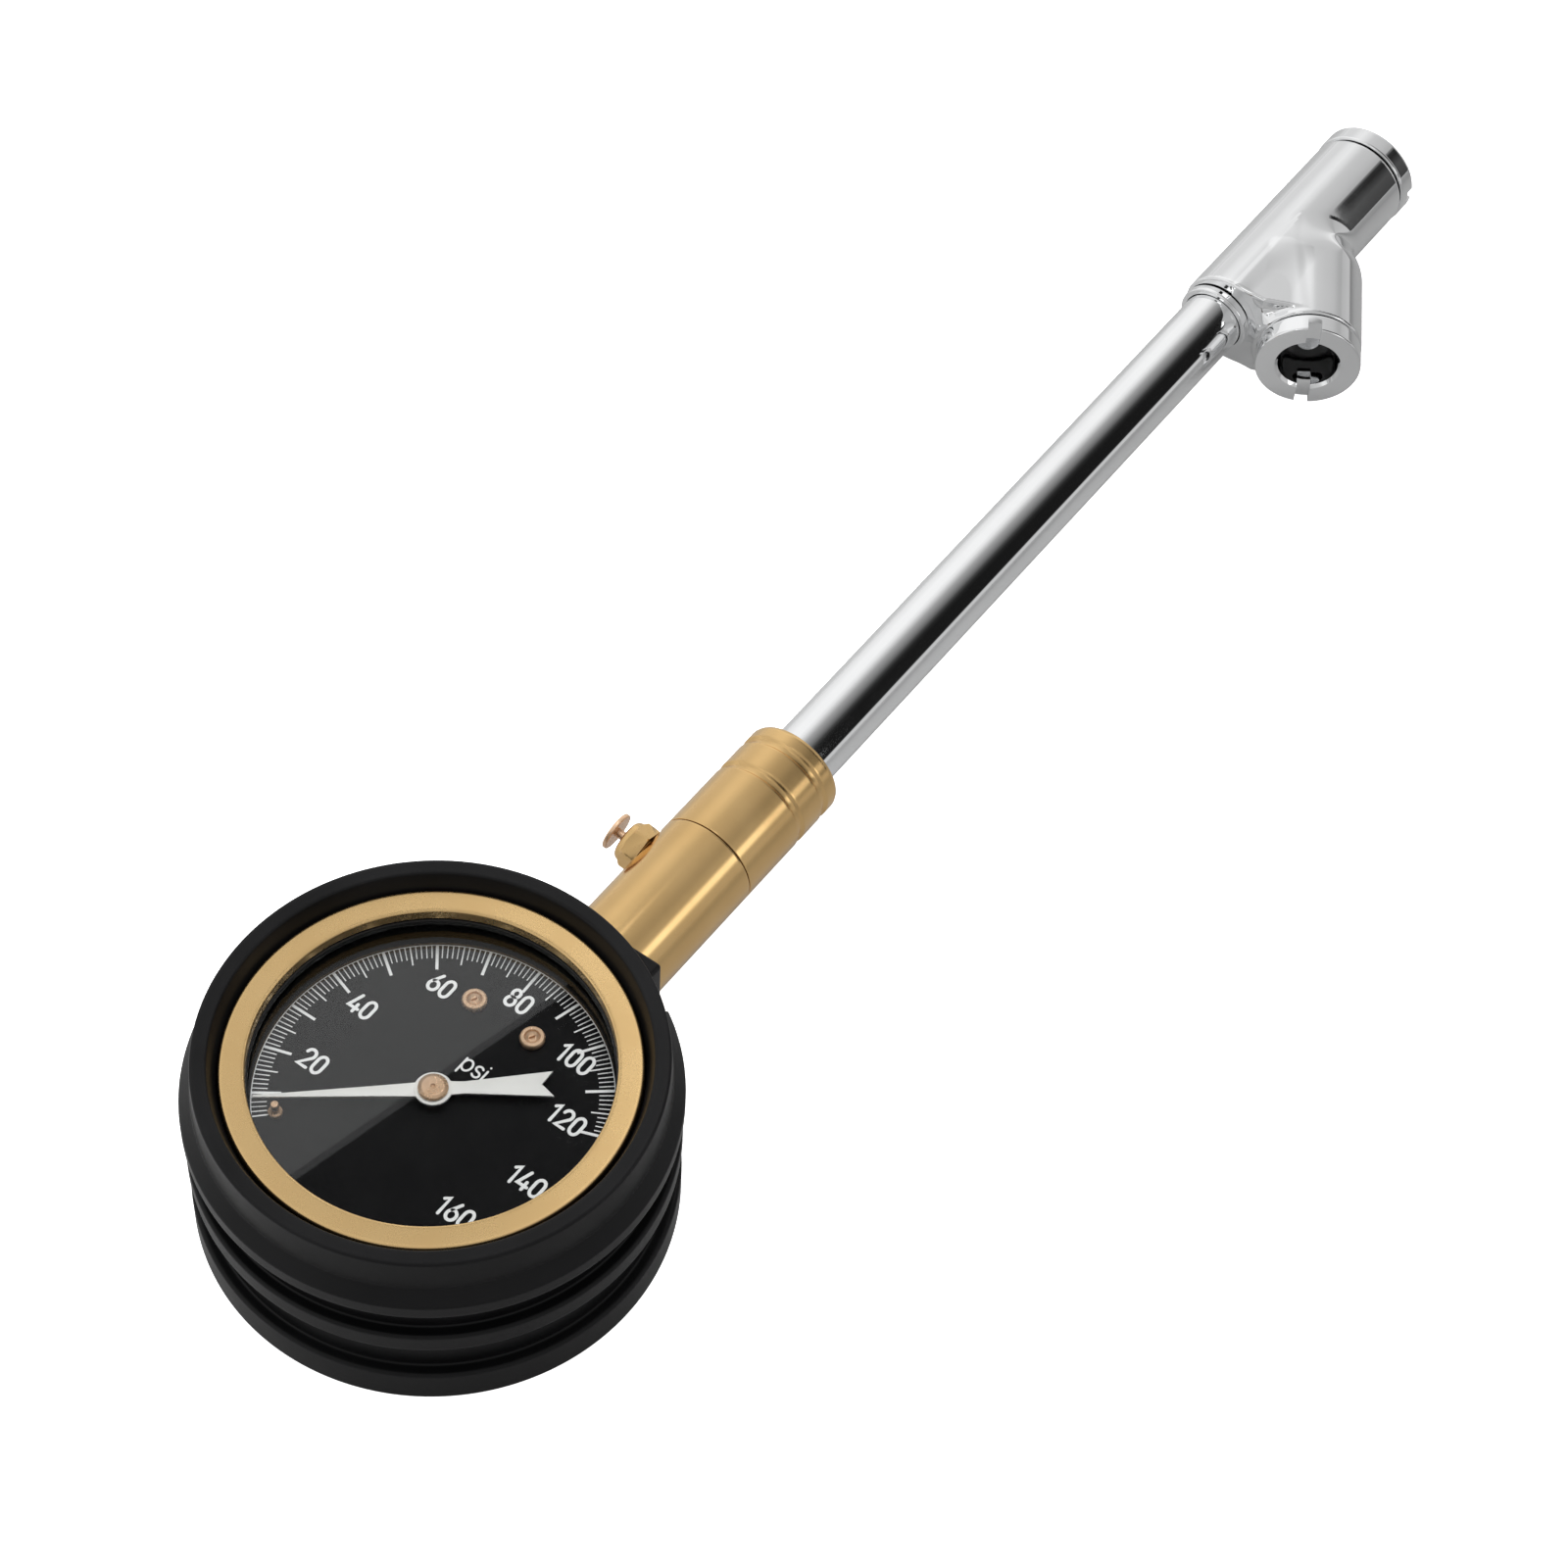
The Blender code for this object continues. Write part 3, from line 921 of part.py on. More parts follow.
def chuck_tube(axis):
    inner = TUBE_RADIUS - TUBE_WALL
    turned("chuck_tube", [
        (TUBE_RADIUS, TUBE_START_Y), (TUBE_RADIUS, TUBE_END_Y), (inner, TUBE_END_Y), (inner, TUBE_START_Y)],
        "chrome", axis)
    radius, length = COLLAR
    high = CHUCK_START_Y - SEAT_GAP
    turned("tube_collar", [
        (radius, high), (radius, high - length + 0.25 * MM), (radius - 0.25 * MM, high - length),
        (TUBE_RADIUS + 0.1 * MM, high - length), (TUBE_RADIUS + 0.1 * MM, high)], "chrome", axis, steps=24)


def foot_bore(name, frame):
    bore = RING_SPIGOT[0] + SEAT_GAP
    chamber, floor = FOOT_CHAMBER
    return turned(name, [
        (0.0, OVERRUN), (bore, OVERRUN), (bore, FOOT_SHOULDER), (chamber, FOOT_SHOULDER), (chamber, -floor),
        (0.0, -floor)], None, frame, steps=24)


def chuck_body(axis, barrel, front, branch):
    end = CHUCK_FACE_Y + FOOT_BODY_END
    body = turned("chuck_body", [
        (0.0, CHUCK_START_Y), (BARREL_RADIUS - BARREL_EDGE, CHUCK_START_Y),
        (BARREL_RADIUS, CHUCK_START_Y + BARREL_EDGE), (BARREL_RADIUS, end - BARREL_EDGE),
        (BARREL_RADIUS - BARREL_EDGE, end), (0.0, end)], "chrome", barrel)
    dome = [(BRANCH_RADIUS * math.sin(math.pi * i / 12),
             -BRANCH_DOME_DEPTH - BRANCH_RADIUS * math.cos(math.pi * i / 12)) for i in range(1, 7)]
    arm = turned("chuck_branch", [(0.0, -BRANCH_DOME_DEPTH - BRANCH_RADIUS)] + dome + [
        (BRANCH_RADIUS, FOOT_BODY_END - BARREL_EDGE), (BRANCH_RADIUS - BARREL_EDGE, FOOT_BODY_END),
        (0.0, FOOT_BODY_END)], None, branch)
    heading_x, heading_y = math.sin(BRANCH_HEADING), math.cos(BRANCH_HEADING)
    near, far = [(BRANCH_FACE_X - heading_x * depth, BRANCH_FACE_Y - heading_y * depth)
                 for depth in (RING_FLANGE[1] + WEB_SETBACK, BRANCH_DOME_DEPTH)]
    start = CHUCK_START_Y + 0.12 * MM
    outline = [(BARREL_OFFSET_X, start), (WEB_START_X, start), near, far, (BARREL_OFFSET_X, CHUCK_START_Y + WEB_LENGTH)]
    web = plate("chuck_web", [outline], STEM_Z - WEB_HALF_THICKNESS, STEM_Z + WEB_HALF_THICKNESS)
    join(body, web, arm, solver="MANIFOLD")
    cross_radius, cross_end = CROSS_GALLERY
    cut(body,
        cylinder("chuck_tube_socket", TUBE_RADIUS + 0.1 * MM, CHUCK_START_Y - OVERRUN, TUBE_END_Y + SEAT_GAP,
                 parent=axis, sides=28),
        foot_bore("chuck_front_bore", front), foot_bore("chuck_angled_bore", branch),
        cylinder("chuck_gallery", GALLERY_RADIUS, TUBE_END_Y - OVERRUN, CHUCK_FACE_Y - FOOT_CHAMBER[1] + OVERRUN,
                 parent=barrel, sides=16),
        cylinder("chuck_cross_gallery", cross_radius, -cross_end, -FOOT_CHAMBER[1] + OVERRUN,
                 parent=branch, sides=16), solver="MANIFOLD")


def foot(prefix, frame, slot_heading):
    radius, flange = RING_FLANGE
    spigot = RING_SPIGOT[0]
    mouth, chamfer = MOUTH
    ring = turned(f"{prefix}_retainer_ring", [
        (radius - RING_EDGE, 0.0), (radius, -RING_EDGE), (radius, -flange + RING_EDGE),
        (radius - RING_EDGE, -flange), (spigot, -flange), (spigot, FOOT_SEAT), (mouth, FOOT_SEAT),
        (mouth, -chamfer), (mouth + chamfer, 0.0)], "chrome", frame)
    slot_axis = frame_at(f"{prefix}_slot_axis", (0, 0, 0), (0, 0, slot_heading), frame)
    width, depth = RING_SLOT
    cut(ring, box(f"{prefix}_slot", (-radius - OVERRUN, -width / 2, -depth), (radius + OVERRUN, width / 2, OVERRUN),
                  parent=slot_axis))
    thickness, hole, boss = SEAL
    boss_radius, boss_top = mouth - SEAT_GAP, FOOT_SEAT + boss
    turned(f"{prefix}_seal", [
        (boss_radius, boss_top), (boss_radius, SEAL_TOP), (spigot, SEAL_TOP), (spigot, SEAL_TOP - thickness),
        (hole, SEAL_TOP - thickness), (hole, boss_top)], "black_rubber", frame, steps=20)
    rod, rise = PIN_ROD
    head, head_thickness = PIN_FLANGE
    tail, tail_length = PIN_TAIL
    top = boss_top + rise
    head_base = FOOT_SHOULDER - head_thickness
    turned(f"{prefix}_pin", [
        (0.0, top), (rod - 0.3 * MM, top), (rod, top - 0.3 * MM), (rod, FOOT_SHOULDER), (head, FOOT_SHOULDER),
        (head, head_base), (tail, head_base), (tail, head_base - tail_length), (0.0, head_base - tail_length)],
        "steel", frame, steps=16)
    coil_radius, wire_radius, turns = FOOT_SPRING
    coil(f"{prefix}_spring", coil_radius, wire_radius, turns, -FOOT_CHAMBER[1] + 0.15 * MM,
         head_base - PIN_TRAVEL - SEAT_GAP, "steel", frame)


# ================================================================ assembly
def build():
    clear_scene()
    make_materials()
    upright = (-math.pi / 2, 0, 0)
    stem = frame_at("stem_axis", (0, 0, STEM_Z), upright)
    bleeder_axis = frame_at("bleeder_axis", (0, BLEEDER_Y, STEM_Z), (0, BLEEDER_TILT - math.pi / 2, 0))
    pivot = polar(PINION_PITCH + WHEEL_PITCH, SECTOR_PIVOT_HEADING)
    sector_axis = frame_at("sector_axis", (*pivot, 0))
    bourdon_axis = frame_at("bourdon_axis", (*polar(BOURDON_RADIUS, BOURDON_PIVOT), 0))
    rubber_boot(stem)
    gauge_case(stem)
    bezel_ring()
    window()
    dial()
    pointer()
    pinion_arbor()
    sector(sector_axis)
    hairspring()
    movement_plates(pivot)
    movement_fixings()
    bourdon(bourdon_axis)
    link(bourdon_axis, polar(TIP_PIN_CIRCLE, TIP_HEADING), polar(TAIL_ARM, TAIL_REST, pivot))
    gauge_socket(stem, bourdon_axis)
    stem_body(stem, bleeder_axis)
    check_valve(stem)
    bleeder(bleeder_axis)
    swivel = frame_at("swivel_axis", (0, 0, STEM_Z), upright)
    barrel = frame_at("barrel_axis", (BARREL_OFFSET_X, 0, 0), parent=swivel)
    front = frame_at("front_foot_axis", (0, 0, CHUCK_FACE_Y), parent=barrel)
    branch = frame_at("angled_foot_axis", (BRANCH_FACE_X, 0, BRANCH_FACE_Y), (0, BRANCH_HEADING, 0), swivel)
    swivel_sleeve(swivel)
    swivel_clip(swivel)
    swivel_seal(stem)
    chuck_tube(swivel)
    chuck_body(swivel, barrel, front, branch)
    foot("front", front, 0.0)
    foot("angled", branch, math.pi / 2)


build()
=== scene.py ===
"""Looks for a dial tyre pressure gauge with a rigid tube and a dual-foot air chuck.

Lengths inside are in millimetres and become metres as each mesh is made. The row frame has its origin in
the middle of the boot's flat back, +Z out of the dial and +Y along the stem to the chuck.
"""

import json
import math

import bmesh
import bpy
import numpy as np
from mathutils import Matrix, Vector


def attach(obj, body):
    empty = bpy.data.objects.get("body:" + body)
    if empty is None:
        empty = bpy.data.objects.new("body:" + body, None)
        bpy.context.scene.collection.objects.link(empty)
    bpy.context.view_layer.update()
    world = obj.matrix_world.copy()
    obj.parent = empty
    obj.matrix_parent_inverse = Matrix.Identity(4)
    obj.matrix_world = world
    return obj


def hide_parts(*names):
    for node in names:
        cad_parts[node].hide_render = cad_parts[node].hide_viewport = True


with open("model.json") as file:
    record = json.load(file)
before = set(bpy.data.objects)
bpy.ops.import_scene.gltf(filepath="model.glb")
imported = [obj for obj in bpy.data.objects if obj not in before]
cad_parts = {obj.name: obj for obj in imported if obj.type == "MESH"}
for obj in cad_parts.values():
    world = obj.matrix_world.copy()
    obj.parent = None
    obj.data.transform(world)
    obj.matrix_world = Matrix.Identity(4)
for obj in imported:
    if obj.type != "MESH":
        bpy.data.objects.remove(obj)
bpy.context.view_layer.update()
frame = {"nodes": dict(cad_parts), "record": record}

MM = 0.001
SHARP = 35.0                     # an edge that turns more than this many degrees is shaded as an edge
STEM_Z = 8.25
UPRIGHT = Matrix.Rotation(-math.pi / 2, 4, "X")
STEM = Matrix.Translation((0, 0, STEM_Z)) @ UPRIGHT
BARREL_X = 1.85
BARREL_RADIUS = 7.95
FRONT = Matrix.Translation((BARREL_X, 232.55, STEM_Z)) @ UPRIGHT
BRANCH_FACE = Vector((16.67, 190.04, STEM_Z))
BRANCH_HEADING = math.radians(149)
BRANCH = Matrix.Translation(BRANCH_FACE) @ UPRIGHT @ Matrix.Rotation(BRANCH_HEADING, 4, "Y")
BLEEDER = Matrix.Translation((0, 53.9, STEM_Z)) @ Matrix.Rotation(math.radians(10 - 90), 4, "Y")
DIAL_Z = 21.3
POINTER_Z = 22.6
POINTER_REST = math.radians(-130.5)


# ------------------------------------------------------------------ outlines
def polar(radius, angle, centre=(0.0, 0.0)):
    return (centre[0] + radius * math.cos(angle), centre[1] + radius * math.sin(angle))


def filleted(corners, steps=4, closed=False):
    """Rounds a polyline of (x, y, radius) corners; a corner with no radius stays sharp."""
    count = len(corners)
    points = []
    for i, corner in enumerate(corners):
        here = Vector(corner[:2])
        radius = corner[2] if len(corner) > 2 else 0.0
        if radius <= 0 or (not closed and i in (0, count - 1)):
            points.append(tuple(here))
            continue
        back = Vector(corners[i - 1][:2]) - here
        ahead = Vector(corners[(i + 1) % count][:2]) - here
        angle = back.angle(ahead)
        if angle > math.radians(178):
            points.append(tuple(here))
            continue
        reach = min(radius / math.tan(angle / 2), 0.49 * back.length, 0.49 * ahead.length)
        start = here + back.normalized() * reach
        end = here + ahead.normalized() * reach
        # A line close beside each fillet keeps the flat next to it flat when it is shaded.
        before, after = (min(0.25, 0.8 * (0.5 * side.length - reach)) for side in (back, ahead))
        if before > 0.02:
            points.append(tuple(start + back.normalized() * before))
        for k in range(steps + 1):
            t = k / steps
            a, b = start.lerp(here, t), here.lerp(end, t)
            points.append(tuple(a.lerp(b, t)))
        if after > 0.02:
            points.append(tuple(end + ahead.normalized() * after))
    return points


# ------------------------------------------------------------------ meshes
def finish_mesh(name, mesh, material, sharp=SHARP):
    bm = bmesh.new()
    bm.from_mesh(mesh)
    bmesh.ops.remove_doubles(bm, verts=bm.verts, dist=1e-7)
    bmesh.ops.recalc_face_normals(bm, faces=bm.faces)
    bm.to_mesh(mesh)
    bm.free()
    mesh.shade_smooth()
    mesh.set_sharp_from_angle(angle=math.radians(sharp))
    obj = bpy.data.objects.new(name, mesh)
    bpy.context.scene.collection.objects.link(obj)
    if material:
        mesh.materials.append(material)
    return obj


def made(name, verts, faces, material=None, place=None, sharp=SHARP):
    """A mesh object from points in millimetres, set in place in the row frame."""
    mesh = bpy.data.meshes.new(name)
    mesh.from_pydata([Vector(v) for v in verts], [], faces)
    mesh.transform(Matrix.Scale(MM, 4) @ (place or Matrix()))
    return finish_mesh(name, mesh, material, sharp)


def walls(pairs, count):
    """Faces between pairs of closed rows; a side that has shrunk to a point is left out."""
    faces = []
    for low, high in pairs:
        for i in range(count):
            j = (i + 1) % count
            quad = [low[i], low[j], high[j], high[i]]
            face = [v for k, v in enumerate(quad) if v not in quad[:k]]
            if len(face) > 2:
                faces.append(face)
    return faces


def lathe(name, outline, material=None, place=None, steps=160):
    """Turns (radius, height) points round local Z."""
    verts, rows = [], []
    for radius, height in outline:
        if radius < 1e-6:
            rows.append([len(verts)] * steps)
            verts.append((0, 0, height))
        else:
            rows.append(list(range(len(verts), len(verts) + steps)))
            verts += [(*polar(radius, math.tau * i / steps), height) for i in range(steps)]
    pairs = list(zip(rows, rows[1:]))
    if outline[0][0] > 1e-6 and outline[-1][0] > 1e-6:
        pairs.append((rows[-1], rows[0]))
    return made(name, verts, walls(pairs, steps), material, place)


def prism(name, outline, low, high, material=None, place=None):
    """A flat outline between two heights."""
    count = len(outline)
    verts = [(x, y, low) for x, y in outline] + [(x, y, high) for x, y in outline]
    faces = [list(range(count))[::-1], list(range(count, 2 * count))]
    faces += [[i, (i + 1) % count, count + (i + 1) % count, count + i] for i in range(count)]
    return made(name, verts, faces, material, place)


def block(name, low, high, place=None, bevel=0.0):
    bm = bmesh.new()
    bmesh.ops.create_cube(bm, size=1.0)
    bmesh.ops.scale(bm, verts=bm.verts, vec=Vector(high) - Vector(low))
    bmesh.ops.translate(bm, verts=bm.verts, vec=(Vector(high) + Vector(low)) / 2)
    if bevel:
        bmesh.ops.bevel(bm, geom=bm.edges, offset=bevel, segments=4, affect="EDGES", profile=0.5)
    mesh = bpy.data.meshes.new(name)
    bm.to_mesh(mesh)
    bm.free()
    mesh.transform(Matrix.Scale(MM, 4) @ (place or Matrix()))
    return finish_mesh(name, mesh, None)


def evaluated(obj):
    """The object's mesh with its modifiers applied, which are then removed."""
    bpy.context.view_layer.update()
    mesh = bpy.data.meshes.new_from_object(obj.evaluated_get(bpy.context.evaluated_depsgraph_get()))
    obj.modifiers.clear()
    obj.data = mesh
    return obj


def combined(obj, steps, bevel=0.0, sharp=SHARP):
    """Applies (operation, other) Booleans in turn, then rounds the edges that they leave."""
    for operation, other in steps:
        modifier = obj.modifiers.new(other.name, "BOOLEAN")
        modifier.operation = operation
        modifier.solver = "EXACT"
        modifier.object = other
    evaluated(obj)
    for _, other in steps:
        bpy.data.objects.remove(other)
    if bevel:
        modifier = obj.modifiers.new("edge", "BEVEL")
        modifier.width = bevel * MM
        modifier.segments = 2
        modifier.limit_method = "ANGLE"
        modifier.angle_limit = math.radians(50)
        modifier.use_clamp_overlap = True
        evaluated(obj)
    obj.data.shade_smooth()
    obj.data.set_sharp_from_angle(angle=math.radians(sharp))
    return obj


def coat(piece, finish):
    piece.data.materials.clear()
    piece.data.materials.append(M[finish])


def dress(piece, body, slot, *nodes):
    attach(piece, body)
    if nodes:
        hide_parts(*nodes)
    return piece


# ------------------------------------------------------------------ materials
class Shade:
    """A Principled material whose colour, roughness and bump come from procedural nodes."""

    def __init__(self, name, colour, roughness, metallic=0.0, **fixed):
        self.material = bpy.data.materials.new(name)
        self.material.use_nodes = True
        self.tree = self.material.node_tree
        self.shader = self.tree.nodes["Principled BSDF"]
        self.shader.inputs["Base Color"].default_value = (*colour, 1)
        self.shader.inputs["Roughness"].default_value = roughness
        self.shader.inputs["Metallic"].default_value = metallic
        for key, value in fixed.items():
            self.shader.inputs[key.replace("_", " ")].default_value = value
        self.height = None

    def node(self, kind, **settings):
        made_node = self.tree.nodes.new(kind)
        for key, value in settings.items():
            setattr(made_node, key, value)
        return made_node

    def link(self, source, target):
        self.tree.links.new(source, target)

    def math(self, operation, a, b):
        made_node = self.node("ShaderNodeMath", operation=operation)
        for socket, value in zip(made_node.inputs, (a, b)):
            if isinstance(value, (int, float)):
                socket.default_value = value
            else:
                self.link(value, socket)
        return made_node.outputs[0]

    def place(self, stretch=(1, 1, 1)):
        """Object coordinates, in metres, stretched along the axes."""
        coordinates = self.node("ShaderNodeTexCoord")
        mapping = self.node("ShaderNodeMapping")
        mapping.inputs["Scale"].default_value = stretch
        self.link(coordinates.outputs["Object"], mapping.inputs["Vector"])
        return mapping.outputs["Vector"]

    def distance(self):
        """Distance from the dial's axis, in metres."""
        length = self.node("ShaderNodeVectorMath", operation="LENGTH")
        self.link(self.place((1, 1, 0)), length.inputs[0])
        return length.outputs["Value"]

    def noise(self, vector, scale, detail=2.0, roughness=0.5):
        texture = self.node("ShaderNodeTexNoise")
        texture.inputs["Scale"].default_value = scale
        texture.inputs["Detail"].default_value = detail
        texture.inputs["Roughness"].default_value = roughness
        self.link(vector, texture.inputs["Vector"])
        return texture.outputs["Fac"]

    def span(self, value, low, high, start=0.3, end=0.7):
        """Maps a noise value from start..end to low..high."""
        scaled = self.node("ShaderNodeMapRange")
        for name, number in (("From Min", start), ("From Max", end), ("To Min", low), ("To Max", high)):
            scaled.inputs[name].default_value = number
        self.link(value, scaled.inputs["Value"])
        return scaled.outputs["Result"]

    def blend(self, value, first, second, start=0.3, end=0.7):
        mixed = self.node("ShaderNodeMix", data_type="RGBA")
        mixed.inputs["A"].default_value = (*first, 1)
        mixed.inputs["B"].default_value = (*second, 1)
        mixed.inputs["Factor"].default_value = 0.5
        self.link(self.span(value, 0, 1, start, end), mixed.inputs["Factor"])
        return mixed.outputs["Result"]

    def colour(self, socket):
        self.link(socket, self.shader.inputs["Base Color"])

    def rough(self, socket):
        self.link(socket, self.shader.inputs["Roughness"])

    def bump(self, socket, depth_mm, strength=1.0):
        made_node = self.node("ShaderNodeBump")
        made_node.inputs["Strength"].default_value = strength
        made_node.inputs["Distance"].default_value = depth_mm * MM
        self.link(socket, made_node.inputs["Height"])
        if self.height:
            self.link(self.height, made_node.inputs["Normal"])
        self.height = made_node.outputs["Normal"]
        self.link(self.height, self.shader.inputs["Normal"])


def rubber(name, dark, light, roughness, level):
    shade = Shade(name, dark, 0.5, Specular_IOR_Level=level)
    where = shade.place()
    cloud = shade.noise(where, 90, 3)
    grain = shade.noise(where, 4200, 2)
    shade.colour(shade.blend(cloud, dark, light))
    shade.rough(shade.span(cloud, *roughness))
    shade.bump(grain, 0.006, 0.25)
    shade.bump(cloud, 0.05, 0.15)
    return shade.material


def metal(name, colour, deep, roughness, turned=False, mark_depth=0.002, grain=0.35, metallic=1.0):
    """Polished or satin metal. A turned piece shows fine marks round the stem."""
    shade = Shade(name, colour, roughness[0], metallic)
    where = shade.place()
    cloud = shade.noise(where, 130, 3)
    if turned:
        fine = shade.noise(shade.place((0.04, 1, 0.04)), 5200, 3, 0.6)
    else:
        fine = shade.noise(where, 2600, 2)
    shade.colour(shade.blend(cloud, colour, deep, 0.25, 0.75))
    mixed = shade.math("ADD", shade.math("MULTIPLY", cloud, 1 - grain), shade.math("MULTIPLY", fine, grain))
    shade.rough(shade.span(mixed, *roughness))
    shade.bump(fine, mark_depth, 0.5 if turned else 0.2)
    return shade.material


def paint(name, first, second, roughness, grain_depth=0.004, level=0.5):
    shade = Shade(name, first, roughness[0], Specular_IOR_Level=level)
    where = shade.place()
    cloud = shade.noise(where, 160, 3)
    grain = shade.noise(where, 6000, 2)
    shade.colour(shade.blend(cloud, first, second))
    shade.rough(shade.span(grain, *roughness))
    shade.bump(grain, grain_depth, 0.3)
    return shade.material


def brass_with_painted_shade(name, colour, deep, black, radius):
    """Brass outside a radius from the dial's axis and black inside it: painted shade for the dark ring
    under the bezel round the dial.
    """
    shade = Shade(name, colour, 0.35, 1.0)
    where = shade.place()
    cloud = shade.noise(where, 130, 3)
    # Painted shade: within the radius the case is black and not metallic.
    inside = shade.math("LESS_THAN", shade.distance(), radius * MM)
    mixed = shade.node("ShaderNodeMix", data_type="RGBA")
    mixed.inputs["B"].default_value = (*black, 1)
    shade.link(shade.blend(cloud, colour, deep), mixed.inputs["A"])
    shade.link(inside, mixed.inputs["Factor"])
    shade.colour(mixed.outputs["Result"])
    shade.link(shade.math("SUBTRACT", 1.0, inside), shade.shader.inputs["Metallic"])
    shade.rough(shade.span(cloud, 0.32, 0.45))
    return shade.material


def glass(name):
    """A clear pane: its surface reflects by angle and what is behind it shows through."""
    material = bpy.data.materials.new(name)
    material.use_nodes = True
    tree = material.node_tree
    tree.nodes.clear()
    output = tree.nodes.new("ShaderNodeOutputMaterial")
    mix = tree.nodes.new("ShaderNodeMixShader")
    fresnel = tree.nodes.new("ShaderNodeFresnel")
    fresnel.inputs["IOR"].default_value = 1.5
    clear = tree.nodes.new("ShaderNodeBsdfTransparent")
    clear.inputs["Color"].default_value = (0.985, 0.99, 0.99, 1)
    gloss = tree.nodes.new("ShaderNodeBsdfGlossy")
    gloss.inputs["Roughness"].default_value = 0.015
    tree.links.new(fresnel.outputs[0], mix.inputs[0])
    tree.links.new(clear.outputs[0], mix.inputs[1])
    tree.links.new(gloss.outputs[0], mix.inputs[2])
    tree.links.new(mix.outputs[0], output.inputs["Surface"])
    return material


GOLD, GOLD_DEEP = (0.81, 0.545, 0.245), (0.76, 0.50, 0.215)
M = {
    "rubber": rubber("boot_rubber", (0.0030, 0.0030, 0.0033), (0.0055, 0.0055, 0.006), (0.30, 0.42), 0.2),
    "seal": rubber("seal_rubber", (0.004, 0.004, 0.004), (0.008, 0.008, 0.008), (0.35, 0.5), 0.4),
    "stem": metal("turned_brass", GOLD, GOLD_DEEP, (0.14, 0.20), True, 0.0007),
    "bezel": metal("bezel_gold", (0.82, 0.57, 0.27), (0.78, 0.53, 0.24), (0.26, 0.29), False, 0.0001),
    "brass": metal("satin_brass", GOLD, GOLD_DEEP, (0.22, 0.34)),
    "copper": metal("copper_brass", (0.86, 0.60, 0.40), (0.76, 0.49, 0.30), (0.20, 0.32), metallic=0.6),
    "chrome": metal("mirror_chrome", (0.90, 0.905, 0.91), (0.87, 0.875, 0.88), (0.03, 0.07), False, 0.0004,
                    0.15),
    "steel": metal("bright_steel", (0.62, 0.63, 0.64), (0.54, 0.55, 0.56), (0.18, 0.30)),
    "dial": paint("dial_black", (0.004, 0.004, 0.0045), (0.006, 0.006, 0.0065), (0.5, 0.6), 0.001, 0.15),
    "print": paint("dial_print", (0.90, 0.90, 0.89), (0.86, 0.86, 0.85), (0.5, 0.6)),
    "pointer": paint("pointer_white", (0.80, 0.79, 0.76), (0.76, 0.75, 0.72), (0.35, 0.45)),
    # The case's inside, within 25.6 mm of the axis, is painted shade.
    "case": brass_with_painted_shade("case_with_painted_shade", GOLD, GOLD_DEEP, (0.004, 0.004, 0.004), 25.6),
    "glass": glass("clear_lens"),
}
NODE_FINISH = {
    "black_rubber": "seal", "satin_brass": "brass", "bright_brass": "bezel", "copper_brass": "copper",
    "chrome": "chrome", "steel": "steel", "clear_lens": "glass", "dial_black": "dial",
    "pointer_white": "pointer",
}


# ------------------------------------------------------------------ boot
BOOT_GROOVE = 30.45
BOOT_WAY = 7.8
RIB_END = 16.6                   # how far to each side of the stem the ribs stop
RIB_TOP = 25.4
# How far past a rib's end in mm, and the share of its height that stands there.
RIB_ENDS = ((-0.5, 0.0), (-0.1, 0.0), (0.0, 0.10), (0.03, 0.86), (0.14, 0.97), (0.4, 1.0))


def boot_outline():
    edge = 0.55
    corners = [
        (0.0, 0.0), (32.15, 0.0, edge), (32.15, 5.8, edge),
        (BOOT_GROOVE, 5.8, 0.4), (BOOT_GROOVE, 12.2, 0.4),
        (32.15, 12.2, edge), (32.15, 15.7, edge), (BOOT_GROOVE, 15.7, 0.4), (BOOT_GROOVE, 20.8, 0.4),
        (32.35, 20.8, edge), (32.35, 23.3, 0.7), (30.75, RIB_TOP, 0.5), (BOOT_GROOVE, 30.8, 0.45),
        (28.35, 30.8, 0.45), (27.25, 27.9, 0.3), (27.25, 20.25), (26.45, 20.25), (26.45, 3.0), (0.0, 3.0)]
    return filleted(corners, 5)


def rubber_boot():
    """The turned boot, whose ribs stop short of the pad round the stem, with pad and stem way."""
    outline = boot_outline()
    first = math.asin(RIB_END / BOOT_GROOVE)
    columns = []
    for side in (1, -1):
        run = [("turn", first * k / 22, 0.0) for k in range(21)]
        run += [("end", offset, share) for offset, share in RIB_ENDS]
        run += [("turn", first + 0.03 + (math.pi - first - 0.03) * k / 104, 1.0) for k in range(104)]
        run += [("turn", math.pi, 1.0)] if side > 0 else []
        columns.append([(kind, value, share, side) for kind, value, share in run])
    ring = columns[0] + columns[1][:0:-1]
    verts, rows = [], []
    for radius, height in outline:
        if radius < 1e-6:
            rows.append([len(verts)] * len(ring))
            verts.append((0, 0, height))
            continue
        rows.append(list(range(len(verts), len(verts) + len(ring))))
        for kind, value, share, side in ring:
            proud = max(radius - BOOT_GROOVE, 0.0) if height < RIB_TOP else 0.0
            here = radius - proud * (1 - share)
            angle = value if kind == "turn" else math.asin((RIB_END + value) / max(here, BOOT_GROOVE))
            verts.append((side * here * math.sin(angle), here * math.cos(angle), height))
    boot = made("boot", verts, walls(zip(rows, rows[1:]), len(ring)), M["rubber"])
    pad = block("pad", (-11.7, 27.5, 0.05), (11.7, 33.0, 23.3), bevel=0.6)
    arch = [polar(BOOT_WAY, math.pi * i / 24) for i in range(25)] + [(-BOOT_WAY, -12.0), (BOOT_WAY, -12.0)]
    arch = [(x, -y) for x, y in arch]
    way = prism("way", arch, 25.2, 34.0, place=STEM)
    combined(boot, [("UNION", pad), ("DIFFERENCE", way)])
    coat(boot, "rubber")
    return dress(boot, "gauge", "black_rubber", "rubber_boot")


